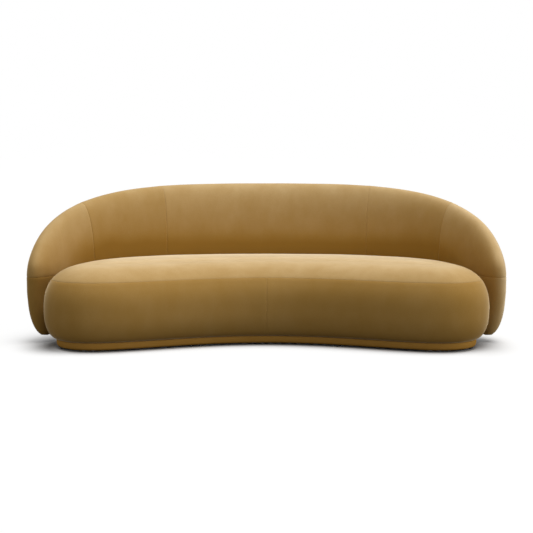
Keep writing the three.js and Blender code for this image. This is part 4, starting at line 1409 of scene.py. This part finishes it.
@dataclass
class BackUpholstery:
    """The back's velvet: a centre panel, and on each hand a side, a wing and a nose panel."""

    wall: Wall
    seam: SeamCut = field(default_factory=SeamCut)
    outside: Layer = field(default_factory=lambda: Layer(0.0, 0.0))
    inside: Layer = field(default_factory=lambda: Layer(0.0453, 0.0393))
    pitch: float = 0.014
    roll_steps: int = 18
    flat_steps: int = 8
    nose_turns: int = 44
    eased: float = 0.024
    foot_easing: float = 0.03
    outline_steps: int = 3000
    eased_steps: int = 1500
    eased_window: int = 90
    eased_ends: float = 3.0
    # Painted light and shade in the panels' tone: paler higher up, painted shade in the inner face's crease
    # above the seat and on the left hand.
    painted_light_pivot: float = 0.68
    painted_crease_shade: float = 0.56
    crease_reach: float = 0.075
    crease_fade: float = 0.32
    crease_past: float = -0.03
    rightward_painted_light: float = 0.22
    panel_pile_and_light: dict[Panel, float] = field(
        default_factory=lambda: {Panel.CENTRE: 0.43, Panel.SIDE: 0.46, Panel.WING: 0.53, Panel.NOSE: 0.48}
    )
    left_painted_shade: dict[Panel, float] = field(
        default_factory=lambda: {Panel.CENTRE: 0.0, Panel.SIDE: 0.08, Panel.WING: 0.08, Panel.NOSE: 0.24}
    )
    height_painted_light: dict[Panel, float] = field(
        default_factory=lambda: {Panel.CENTRE: 0.34, Panel.SIDE: 0.32, Panel.WING: 0.24, Panel.NOSE: 0.0}
    )

    def stops(self) -> Array:
        """Return the stops on a ray, over the roll and across the face."""
        over = np.linspace(0.0, 1.0, self.roll_steps + 1)
        return np.concatenate([over, 1.0 + np.linspace(0.0, 1.0, self.flat_steps + 1)[1:]])

    def _columns(self, start: float, stop: float) -> Array:
        """Return distances along the wall, closer together beside the seams."""
        seams = [self.wall.side_seam, self.wall.corner_seam, self.wall.nose_centre]
        return steps_near(start, stop, self.pitch, seams, SEAM_CLUSTER)

    def top_rays(self, columns: Array) -> Rays:
        """Run rays down from the crest.

        Args:
            columns: Where they start, along the wall.

        Returns:
            The rays' outline points, their ends, and how far each starts at the foot.
        """
        drifted = columns - self.wall.drift(columns)
        edge = np.stack([columns, self.wall.crest(columns)], axis=1)
        end = np.stack([drifted, np.full_like(columns, self.wall.form.nose_seam)], axis=1)
        return edge, end, np.zeros(len(columns))

    def foot_rays(self, columns: Array) -> Rays:
        """Run rays up from the foot.

        Args:
            columns: Where they would start at the crest, along the wall.

        Returns:
            The rays, as for the top ones.
        """
        form = self.wall.form
        drifted = columns - self.wall.drift(columns)
        edge = np.stack([drifted, np.full_like(columns, form.bottom)], axis=1)
        end = np.stack([drifted, np.full_like(columns, form.nose_seam)], axis=1)
        return edge, end, np.ones(len(columns))

    def _nose_outline(self) -> Rays:
        """Draw the nose's outline, and ease its kinks.

        Returns:
            Its points' distances along and heights, and their bearings from the nose's centre.
        """
        wall, form = self.wall, self.wall.form
        turn = np.linspace(0.0, math.pi / 2, self.outline_steps)
        along = wall.nose_centre + form.nose_depth * np.sin(turn)
        height = form.nose_height - (form.nose_height - form.bottom) * np.sin(turn)
        x = np.concatenate([along, wall.nose(height)[1:]])
        z = np.concatenate([wall.crest(along), height[1:]])
        run = np.concatenate([[0.0], np.cumsum(np.hypot(np.diff(x), np.diff(z)))])
        even = np.linspace(0.0, run[-1], self.eased_steps)
        window = self.eased_window
        spread = np.arange(-window, window + 1) * (even[1] / self.eased)
        weights = np.exp(-(spread**2) / 2.0)
        from_end = np.minimum(even, run[-1] - even)
        inner = np.clip(from_end / (self.eased * self.eased_ends), 0.0, 1.0)
        line = []
        for values in (x, z):
            plain = np.interp(even, run, values)
            padded = np.pad(plain, window, mode="edge")
            soft = np.convolve(padded, weights / weights.sum(), mode="valid")
            line.append(plain + (soft - plain) * inner)
        bearing = np.arctan2(line[1] - form.nose_seam, line[0] - wall.nose_centre)
        order = np.argsort(bearing)
        return line[0][order], line[1][order], bearing[order]

    def _nose_rays(self, turns: Array, lowest: float = -math.pi) -> Rays:
        """Run rays that fan in to the nose's centre.

        Args:
            turns: Their bearings.
            lowest: The bearing at which the nose meets the foot, and the rays ease into it.

        Returns:
            The rays, as for the top ones.
        """
        x, z, bearing = self._nose_outline()
        edge = np.stack([np.interp(turns, bearing, x), np.interp(turns, bearing, z)], axis=1)
        end = np.repeat([[self.wall.nose_centre, self.wall.form.nose_seam]], len(turns), axis=0)
        near = np.clip(1.0 - (turns - lowest) / self.foot_easing, 0.0, 1.0)
        return edge, end, smooth(near)

    @staticmethod
    def _joined(*groups: Rays) -> Rays:
        """Return several groups of rays as one."""
        return tuple(np.concatenate([group[i] for group in groups]) for i in range(3))

    def _rays(self, panel: Panel) -> list[Rays]:
        """Cover a panel with rays.

        Args:
            panel: A panel of the right hand, or half of the centre panel.

        Returns:
            Its runs of rays: the upper part's, and the foot's.
        """
        wall, form = self.wall, self.wall.form
        if panel in (Panel.CENTRE, Panel.SIDE):
            centre = panel is Panel.CENTRE
            ends = (0.0, wall.side_seam) if centre else (wall.side_seam, wall.corner_seam)
            columns = self._columns(*ends)
            return [self.top_rays(columns), self.foot_rays(columns)]
        cluster = [step / form.nose_depth for step in SEAM_CLUSTER]
        turn = math.pi / 2 / self.nose_turns
        if panel is Panel.WING:
            columns = self._columns(wall.corner_seam, wall.nose_centre)
            turns = steps_near(0.0, math.pi / 2, turn, [0.0], cluster)[::-1]
            fan = self._nose_rays(turns[1:])
            return [self._joined(self.top_rays(columns), fan), self.foot_rays(columns)]
        corner = float(wall.nose(np.array(form.bottom)))
        lowest = math.atan2(form.bottom - form.nose_seam, corner - wall.nose_centre)
        turns = steps_near(lowest, 0.0, turn, [0.0], cluster)[::-1]
        feet = steps_near(wall.nose_centre, corner, self.pitch, [wall.nose_centre], SEAM_CLUSTER)[::-1]
        edge = np.stack([feet, np.full_like(feet, form.bottom)], axis=1)
        end = np.repeat([[wall.nose_centre, form.nose_seam]], len(feet), axis=0)
        return [self._nose_rays(turns, lowest), (edge, end, np.ones(len(feet)))]

    def _to_seams(self, along: Array, height: Array) -> Array:
        """Measure to the nearest seam of the back.

        Args:
            along: Distances along the wall from its centre.
            height: Heights.

        Returns:
            Each place's distance from its nearest seam.
        """
        form, nose = self.wall.form, self.wall.nose_centre
        corner = self.wall.corner_seam
        crest = float(self.wall.crest(np.array(corner)))
        fallen = np.clip((crest - height) / (crest - form.nose_seam), 0.0, 1.0)
        corner_at = corner - form.seam_drift * fallen
        upright = np.minimum(np.abs(along - self.wall.side_seam), np.abs(along - corner_at))
        beyond = along - nose
        level = np.hypot(np.minimum(beyond, 0.0), height - form.nose_seam)
        below = np.hypot(beyond, np.maximum(height - form.nose_seam, 0.0))
        return np.minimum(upright, np.minimum(level, below))

    def _painted_crease_shade(self, along: Array, height: Array, stops: Array) -> Array:
        """Work out the shade painted where the inner face meets the seat.

        Args:
            along: Distances along the wall from its centre.
            height: Heights.
            stops: The stops on the rays.

        Returns:
            How much darker each point is.
        """
        above_seat = (height - self.wall.form.seat.edge_top) / self.crease_reach
        short_of_nose = self.wall.nose_centre + self.crease_past - along
        faded = np.clip(short_of_nose / self.crease_fade, 0.0, 1.0)
        return self.painted_crease_shade * faded * np.exp(-(above_seat**2)) * np.minimum(stops, 1.0)[:, None]

    def _lay(self, skin: Skin, panel: Panel, sign: int) -> None:
        """Lay a panel's runs of rays over both faces of the wall.

        Args:
            skin: What they're added to.
            panel: The panel.
            sign: The hand's sign.
        """
        stops = self.stops()
        for rays in self._rays(panel):
            along, height, half = self.wall.grid(*rays, stops, self.outside)
            deep_along, deep_height, deep_half = self.wall.grid(*rays, stops, self.inside)
            dip = self.seam.dip(self._to_seams(along, height))
            # Painted light grows with height; painted shade falls on the left hand, and in the crease on the
            # inner face only.
            nap = self.panel_pile_and_light[panel] + self.height_painted_light[panel] * (height - self.painted_light_pivot)
            nap = nap - (self.left_painted_shade[panel] if sign < 0 else 0.0)
            crease_shaded = nap - self._painted_crease_shade(along, height, stops)
            for side, laid in ((-1.0, crease_shaded), (1.0, nap)):
                outer = self.wall.spots(along, height, side * half, sign)
                inner = self.wall.spots(deep_along, deep_height, side * deep_half, sign)
                skin.add_grid(outer, inner, dip, laid)

    def centre(self, maker: Upholsterer) -> bpy.types.Object:
        """Make the centre panel, over both hands.

        Args:
            maker: What pads it.

        Returns:
            The finished panel.
        """
        skin = Skin()
        self._lay(skin, Panel.CENTRE, 1)
        self._lay(skin, Panel.CENTRE, -1)
        made = maker.pad("back_pad_centre", skin, VELVET)
        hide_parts("back_cover_centre", "back_foam_centre")
        return made

    def panel(self, panel: Panel, hand: Hand, maker: Upholsterer) -> bpy.types.Object:
        """Make a side, wing or nose panel.

        Args:
            panel: Which panel.
            hand: Its hand.
            maker: What pads it.

        Returns:
            The finished panel.
        """
        skin = Skin()
        self._lay(skin, panel, hand.value)
        side = hand.name.lower()
        kind = "back" if panel is Panel.SIDE else panel.value
        # Only the right hand's panels get painted light where they face right.
        rightward_painted_light = self.rightward_painted_light if hand is Hand.RIGHT else 0.0
        made = maker.pad(f"{kind}_pad_{side}", skin, VELVET, rightward_painted_light=rightward_painted_light)
        nodes = [f"{kind}_cover_{side}"]
        if panel is Panel.SIDE:
            nodes.append("back_foam_" + side)
        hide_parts(*nodes)
        return made


@dataclass
class PlinthCover:
    """Velvet stretched round the plinth's rail and tucked under its lower edge."""

    inset: float = 0.065
    cloth: float = 0.003
    bottom: float = 0.0095
    top: float = 0.0457
    fold_radius: float = 0.014
    belly: float = 0.0012
    nap: float = 0.50
    fold_steps: int = 6
    rise_steps: int = 8

    def build(self, rays: SeatRays) -> bpy.types.Object:
        """Make the cover as a closed band.

        Args:
            rays: The seat's rays, whose outline it follows.

        Returns:
            The finished cover.
        """
        bend = np.linspace(0.0, math.pi / 2, self.fold_steps + 1)
        low_in = self.inset + self.fold_radius * (1.0 - np.sin(bend))
        low_up = self.bottom + self.fold_radius * (1.0 - np.cos(bend))
        share = np.linspace(0.0, 1.0, self.rise_steps + 1)[1:]
        folded = self.bottom + self.fold_radius
        bulge = self.belly * np.sin(math.pi * share)
        inset = each_ray(np.concatenate([low_in, self.inset - bulge]), rays.count)
        rise = folded + (self.top - folded) * share
        height = each_ray(np.concatenate([low_up, rise]), rays.count)
        outer = rays.places(inset, height)
        inner = rays.places(inset + self.cloth, height)
        flat = np.zeros(outer.shape[:2])
        skin = Skin()
        skin.add_grid(outer, inner, flat, flat + self.nap, loop=True)
        # The upholsterer adds painted light on the cover's upward faces.
        taut = Upholsterer(uneven=0.0003, pressure=0.0)
        made = taut.pad("plinth_velvet_wrap", skin, PLINTH_VELVET, fill=1.0)
        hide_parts("plinth_cover")
        return made


class RowTree(NodeTree):
    """A Geometry Nodes tree that sets small pieces along a path and turns them to follow it."""

    def __init__(self, name: str, finish: Finish, flat: bool) -> None:
        """Build the tree.

        Args:
            name: The tree's name.
            finish: What its pieces are made of.
            flat: Whether its pieces are flat staples, and not round stitches.
        """
        super().__init__(bpy.data.node_groups.new(name, "GeometryNodeTree"))
        face = self.tree.interface
        face.new_socket("Geometry", in_out="INPUT", socket_type="NodeSocketGeometry")
        self.names: dict[str, str] = {}
        for label in ("Pitch", "Length", "Thickness"):
            socket = face.new_socket(label, in_out="INPUT", socket_type="NodeSocketFloat")
            self.names[label] = socket.identifier
        face.new_socket("Geometry", in_out="OUTPUT", socket_type="NodeSocketGeometry")
        start = self.node("NodeGroupInput", {}, {})
        curve = self.node("GeometryNodeMeshToCurve", {}, {0: start.outputs[0]})
        spacing = {0: curve.outputs[0], "Length": start.outputs["Pitch"]}
        spaced = self.node("GeometryNodeResampleCurve", {"mode": "LENGTH"}, spacing)
        tangent = self.node("GeometryNodeInputTangent", {}, {})
        turned = self.node("FunctionNodeAlignRotationToVector", {"axis": "Z"}, {"Vector": tangent.outputs[0]})
        piece = self._staple(start) if flat else self._stitch(start)
        parts = {"Points": spaced.outputs[0], "Instance": piece, "Rotation": turned.outputs[0]}
        placed = self.node("GeometryNodeInstanceOnPoints", {}, parts)
        real = self.node("GeometryNodeRealizeInstances", {}, {0: placed.outputs[0]})
        look = {0: real.outputs[0], "Material": finish.material()}
        painted = self.node("GeometryNodeSetMaterial", {}, look)
        self.node("NodeGroupOutput", {}, {0: painted.outputs[0]})

    def _stitch(self, start: bpy.types.Node) -> bpy.types.NodeSocket:
        """Make a short round stitch.

        Args:
            start: The tree's inputs.

        Returns:
            The stitch, which lies along Z.
        """
        depth, radius = start.outputs["Length"], start.outputs["Thickness"]
        values = {"Vertices": 6, "Depth": depth, "Radius": radius}
        return self.node("GeometryNodeMeshCylinder", {}, values).outputs[0]

    def _staple(self, start: bpy.types.Node) -> bpy.types.NodeSocket:
        """Make the crown of a staple.

        Args:
            start: The tree's inputs.

        Returns:
            The flat wire, which lies along Z.
        """
        wide, long = start.outputs["Thickness"], start.outputs["Length"]
        size = self.node("ShaderNodeCombineXYZ", {}, {0: wide, 1: wide, 2: long})
        return self.node("GeometryNodeMeshCube", {}, {"Size": size.outputs[0]}).outputs[0]

    def along(
        self, name: str, paths: Sequence[Array], sizes: dict[str, float], slot: str
    ) -> bpy.types.Object:
        """Set the pieces along paths, and bake them to a plain mesh.

        Args:
            name: The finished piece's name.
            paths: The paths' points, in the sofa's frame.
            sizes: Pitch, Length and Thickness, in metres.
            slot: Not used.

        Returns:
            The finished object.
        """
        points = [tuple(place) for path in paths for place in path]
        edges, count = [], 0
        for path in paths:
            edges += [(count + i, count + i + 1) for i in range(len(path) - 1)]
            count += len(path)
        guide_mesh = bpy.data.meshes.new(name + "_guide")
        guide_mesh.from_pydata(points, edges, [])
        guide = put(name + "_guide", guide_mesh)
        modifier = guide.modifiers.new("row", "NODES")
        modifier.node_group = self.tree
        for label, size in sizes.items():
            modifier[self.names[label]] = size
        evaluated = guide.evaluated_get(bpy.context.evaluated_depsgraph_get())
        mesh = bpy.data.meshes.new_from_object(evaluated)
        guide.modifiers.remove(modifier)
        bpy.data.objects.remove(guide)
        bpy.data.meshes.remove(guide_mesh)
        mesh.name = name
        made = put(name, mesh)
        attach(made, BODY)
        log.info("%s: %d faces", name, len(mesh.polygons))
        return made


@dataclass
class SeamThreads:
    """Lockstitches that lie at the bottom of the seat's seams and of the back's upright seams."""

    seat: SeatUpholstery
    back: BackUpholstery
    pitch: float = 0.0055
    length: float = 0.0042
    radius: float = 0.0004
    above_seam: float = 0.0003
    inward: float = 0.75
    downward: float = 0.65
    band_steps: int = 24

    def _sizes(self) -> dict[str, float]:
        """Return the row tree's sizes."""
        return {"Pitch": self.pitch, "Length": self.length, "Thickness": self.radius}

    def _seat_paths(self, rays: SeatRays) -> list[Array]:
        """Follow the seat's seams.

        Args:
            rays: The seat's rays.

        Returns:
            The long seam's path, and the two short ones down the middle of the band.
        """
        form = self.seat.form
        sunk = self.seat.seam.depth - self.above_seam
        inset, height = rays.roll(np.array([form.seam_angle]))
        deep_in, deep_down = sunk * self.inward, sunk * self.downward
        ring = rays.places(inset + deep_in, height - deep_down)[0]
        paths = [np.concatenate([ring, ring[:1]])]
        angles = np.linspace(0.0, form.seam_angle, self.band_steps)
        for number in (0, rays.count // 2):
            ray = rays.part(np.array([number]))
            inset, height = ray.roll(angles)
            paths.append(ray.places(inset + sunk, height)[:, 0])
        return paths

    def _back_paths(self, hand: Hand) -> list[Array]:
        """Follow one hand's upright seams.

        Args:
            hand: The hand.

        Returns:
            Their paths, over the crest from foot to foot.
        """
        wall = self.back.wall
        sunk = self.back.seam.depth - self.above_seam
        under = Layer(sunk, sunk)
        stops = self.back.stops()
        paths = []
        for along in (wall.side_seam, wall.corner_seam):
            column = np.array([along])
            halves = []
            for rays in (self.back.foot_rays(column), self.back.top_rays(column)):
                places = wall.grid(*rays, stops, under)
                halves.append([part[:, 0] for part in places])
            foot, top = halves
            climb = [np.concatenate([a, b[::-1][1:]]) for a, b in zip(foot, top)]
            front = wall.spots(climb[0], climb[1], -climb[2], hand.value)
            rear = wall.spots(climb[0], climb[1], climb[2], hand.value)
            paths.append(np.concatenate([front, rear[::-1][1:]]))
        return paths

    def build(self, rays: SeatRays) -> None:
        """Sew the seat's seams and the back's seams.

        Args:
            rays: The seat's rays.
        """
        tree = RowTree("stitch_row", THREAD, flat=False)
        tree.along("seat_seam_stitches", self._seat_paths(rays), self._sizes(), "ochre_velvet")
        paths = [path for hand in Hand for path in self._back_paths(hand)]
        tree.along("back_seam_stitches", paths, self._sizes(), "ochre_velvet")


@dataclass
class DustClothStaples:
    """Staples that hold the dust cloth under the plinth's rail."""

    inset: float = 0.080
    height: float = 0.0077
    pitch: float = 0.045
    crown: float = 0.010
    wire: float = 0.0007

    def build(self, rays: SeatRays) -> bpy.types.Object:
        """Set the staples in a ring.

        Args:
            rays: The seat's rays.

        Returns:
            The finished staples.
        """
        ring = rays.ring(self.inset, self.height)
        tree = RowTree("staple_row", STEEL, flat=True)
        sizes = {"Pitch": self.pitch, "Length": self.crown, "Thickness": self.wire}
        return tree.along("dust_cloth_staples", [np.concatenate([ring, ring[:1]])], sizes, "zinc_steel")


@dataclass(frozen=True)
class FrameDressing:
    """Which finish each CAD node gets, by a word in its name; the first that fits holds."""

    rules: tuple[tuple[str, Finish], ...] = (
        ("dust_cloth", DUST_CLOTH),
        ("webbing", WEBBING),
        ("glide", PLASTIC),
        ("bracket", STEEL),
        ("bolt", STEEL),
        ("foam", FOAM),
        ("topper", FOAM),
        ("plinth_cover", PLINTH_VELVET),
        ("cover", VELVET),
        ("band", VELVET),
    )

    def dress(self, nodes: dict[str, bpy.types.Object]) -> None:
        """Give every CAD node its finish; what no rule names is plywood.

        Args:
            nodes: The nodes by name.
        """
        for name, node in nodes.items():
            finish = next((found for word, found in self.rules if word in name), PLYWOOD)
            node.data.materials.clear()
            node.data.materials.append(finish.material())
        log.info("dressed %d CAD nodes", len(nodes))


@dataclass(frozen=True)
class Studio:
    """A white floor and backdrop, a broad lamp overhead and one at the side, and the camera."""

    floor_reach: float = 30.0
    floor_ring: float = 4.0
    floor_middle: tuple[tuple[float, float], ...] = ((-1.6, 1.6), (-1.0, 0.8))
    floor_pitch: float = 0.010
    floor_white: float = 0.86
    plinth_inset: float = 0.065
    end_place: tuple[float, float] = (1.05, -0.25)
    end_reach: tuple[float, float] = (0.22, 0.42)
    end_shadow: float = 1.0
    # Shade painted onto the floor beside the sofa's ends.
    end_painted_floor_shade: dict[Hand, float] = field(default_factory=lambda: {Hand.LEFT: 0.62, Hand.RIGHT: 0.64})
    painted_floor_shade_reach: tuple[float, float] = (0.13, 0.26)
    near_shadow: float = 0.85
    near_reach: float = 0.14
    open_shadow: float = 0.06
    overhead: float = 2.42
    overhead_spread: float = 40.0
    overhead_tilt: tuple[float, float] = (2.0, 13.0)
    side: float = 0.85
    side_spread: float = 45.0
    side_tilt: tuple[float, float] = (12.0, 76.0)
    fill: float = 0.50
    bounce: float = 0.19
    camera_place: tuple[float, float, float] = (0.0, -7.701, 1.146)
    camera_pitch: float = 5.789
    focal_pixels: float = 1511.0
    frame_pixels: float = 533.0
    sensor: float = 36.0

    def _shadow_share(self, rays: SeatRays, x: Array, y: Array) -> Array:
        """Return how strongly the sofa's shadow shows at places on the floor.

        Args:
            rays: The seat's rays.
            x: The places' X.
            y: The places' Y.

        Returns:
            1 under the plinth, less beside the seat's ends, and little elsewhere.
        """
        ring = rays.ring(self.plinth_inset, 0.0)[: rays.count // 2 + 1]
        tip = int(ring[:, 0].argmax())
        rear = np.interp(np.abs(x), ring[: tip + 1, 0], ring[: tip + 1, 1])
        front = np.interp(np.abs(x), ring[tip:, 0][::-1], ring[tip:, 1][::-1])
        inside = np.minimum(np.minimum(rear - y, y - front), ring[tip, 0] - np.abs(x))
        under = np.clip(1.0 + inside / self.floor_pitch, 0.0, 1.0)
        across = (np.abs(x) - self.end_place[0]) / self.end_reach[0]
        beside = np.exp(-(across**2) - ((y - self.end_place[1]) / self.end_reach[1]) ** 2)
        near = self.near_shadow * np.exp(-np.maximum(-inside, 0.0) / self.near_reach)
        soft = np.maximum(self.open_shadow + (self.end_shadow - self.open_shadow) * beside, near)
        return soft + (1.0 - soft) * under

    def _painted_floor_shade(self, x: Array, y: Array) -> Array:
        """Work out the shade painted on the floor beside the sofa's ends.

        Args:
            x: The places' X.
            y: The places' Y.

        Returns:
            The shade, from 0 to 1.
        """
        across = (np.abs(x) - self.end_place[0]) / self.painted_floor_shade_reach[0]
        deep = (y - self.end_place[1]) / self.painted_floor_shade_reach[1]
        strength = np.where(x < 0, self.end_painted_floor_shade[Hand.LEFT], self.end_painted_floor_shade[Hand.RIGHT])
        return strength * np.exp(-(across**2) - deep**2)

    def _spread(self, axis: int) -> Array:
        """Space the floor's lines: fine in the middle, and few far out.

        Args:
            axis: 0 for X and 1 for Y.

        Returns:
            The lines' places on that axis.
        """
        middle = np.arange(*self.floor_middle[axis], self.floor_pitch)
        outer = np.array([self.floor_ring, self.floor_reach])
        return np.concatenate([-outer[::-1], middle, outer])

    def _floor_mesh(self, rays: SeatRays) -> bpy.types.Mesh:
        """Make the floor's mesh.

        Args:
            rays: The seat's rays.

        Returns:
            The mesh, whose points carry how the sofa's shadow falls.
        """
        x, y = self._spread(0), self._spread(1)
        grid_x, grid_y = np.meshgrid(x, y)
        share = self._shadow_share(rays, grid_x, grid_y)
        places = np.stack([grid_x, grid_y, np.zeros_like(grid_x)], axis=-1).reshape(-1, 3)
        wide = len(x)
        corners = (np.arange(len(y) - 1)[:, None] * wide + np.arange(wide - 1)[None]).reshape(-1)
        faces = np.stack([corners, corners + 1, corners + wide + 1, corners + wide], axis=1)
        mesh = bpy.data.meshes.new("floor")
        mesh.from_pydata(places.tolist(), [], faces.tolist())
        for name, values in (("shadow", share), ("shade", self._painted_floor_shade(grid_x, grid_y))):
            carried = mesh.attributes.new(name, "FLOAT", "POINT")
            carried.data.foreach_set("value", values.reshape(-1).astype(np.float32))
        return mesh

    def _floor(self, rays: SeatRays) -> None:
        """Lay the floor: white to the camera, dimmer to the light that bounces.

        Args:
            rays: The seat's rays.
        """
        mesh = self._floor_mesh(rays)
        shader = Shader("pale_floor")
        path = shader.node("ShaderNodeLightPath", {}, {})
        seen = Signal(shader, path.outputs["Is Camera Ray"]) + Signal(shader, path.outputs["Is Glossy Ray"])
        white, black = (self.floor_white,) * 3, (0.0, 0.0, 0.0)
        # Painted shade: the lit floor is darkened beside the sofa's ends.
        shaded = shader.ramp(shader.carried("shade"), [(0.0, white), (1.0, black)])
        lit = shader.node("ShaderNodeBsdfDiffuse", {}, {"Color": shaded})
        glow = shader.node("ShaderNodeEmission", {}, {"Color": WHITE, "Strength": 1.0})
        values = {0: shader.carried("shadow"), 1: glow.outputs[0], 2: lit.outputs[0]}
        shown = shader.node("ShaderNodeMixShader", {}, values)
        dim = (self.bounce, self.bounce, self.bounce, 1.0)
        dark = shader.node("ShaderNodeBsdfDiffuse", {}, {"Color": dim})
        values = {0: seen.held(), 1: dark.outputs[0], 2: shown.outputs[0]}
        both = shader.node("ShaderNodeMixShader", {}, values)
        shader.tree.links.new(both.outputs[0], shader.output.inputs["Surface"])
        shader.tree.nodes.remove(shader.surface)
        mesh.materials.append(shader.material)
        put("floor", mesh)

    def _world(self) -> None:
        """Fill the room with an even light that looks white to the camera."""
        world = bpy.data.worlds.new("room")
        world.use_nodes = True
        room = NodeTree(world.node_tree)
        seen = room.node("ShaderNodeLightPath", {}, {}).outputs["Is Camera Ray"]
        soft = room.node("ShaderNodeBackground", {}, {"Color": WHITE, "Strength": self.fill})
        white = room.node("ShaderNodeBackground", {}, {"Color": WHITE, "Strength": 1.0})
        mix = room.node("ShaderNodeMixShader", {}, {0: seen, 1: soft.outputs[0], 2: white.outputs[0]})
        room.node("ShaderNodeOutputWorld", {}, {"Surface": mix.outputs[0]})
        bpy.context.scene.world = world

    @staticmethod
    def _lamp(name: str, energy: float, spread: float, tilt: tuple[float, float]) -> None:
        """Hang a broad soft lamp.

        Args:
            name: The lamp's name.
            energy: Its strength.
            spread: How wide it looks, in degrees.
            tilt: How far it leans towards the back and to the right, in degrees.
        """
        lamp = bpy.data.lights.new(name, "SUN")
        lamp.energy = energy
        lamp.angle = math.radians(spread)
        angles = (math.radians(tilt[0]), math.radians(tilt[1]), 0.0)
        put(name, lamp).rotation_euler = angles

    def _camera(self) -> None:
        """Stand the camera where the photographer's was."""
        data = bpy.data.cameras.new("camera")
        data.sensor_fit = "HORIZONTAL"
        data.sensor_width = self.sensor
        data.lens = self.focal_pixels * self.sensor / self.frame_pixels
        data.clip_end = 200.0
        camera = put("camera", data)
        camera.location = self.camera_place
        camera.rotation_euler = (math.radians(90.0 - self.camera_pitch), 0.0, 0.0)
        bpy.context.scene.camera = camera

    def build(self, rays: SeatRays) -> None:
        """Set up the floor, the lights, the view transform and the camera.

        Args:
            rays: The seat's rays.
        """
        self._floor(rays)
        self._world()
        self._lamp("overhead", self.overhead, self.overhead_spread, self.overhead_tilt)
        self._lamp("side", self.side, self.side_spread, self.side_tilt)
        self._camera()
        bpy.context.scene.view_settings.view_transform = "Standard"


def main() -> None:
    """Build the sofa's pieces in order, dress the frame and set up the studio."""
    logging.basicConfig(level=logging.INFO, format="%(name)s: %(message)s")
    form = SeatForm()
    rays = seat_rays(form)
    Studio().build(rays)
    FrameDressing().dress(frame["nodes"])
    maker = Upholsterer()
    seat = SeatUpholstery(form)
    seat.top(rays, maker)
    for hand in Hand:
        seat.band(hand, rays, maker)
    PlinthCover().build(rays)
    back = BackUpholstery(Wall(WallForm(form)))
    # The back's panels get less painted light on upward faces.
    maker = Upholsterer(upward_painted_light=0.12)
    back.centre(maker)
    for hand in Hand:
        for panel in (Panel.SIDE, Panel.WING, Panel.NOSE):
            back.panel(panel, hand, maker)
    SeamThreads(seat, back).build(rays)
    DustClothStaples().build(rays)


if __name__ == "__main__":
    main()
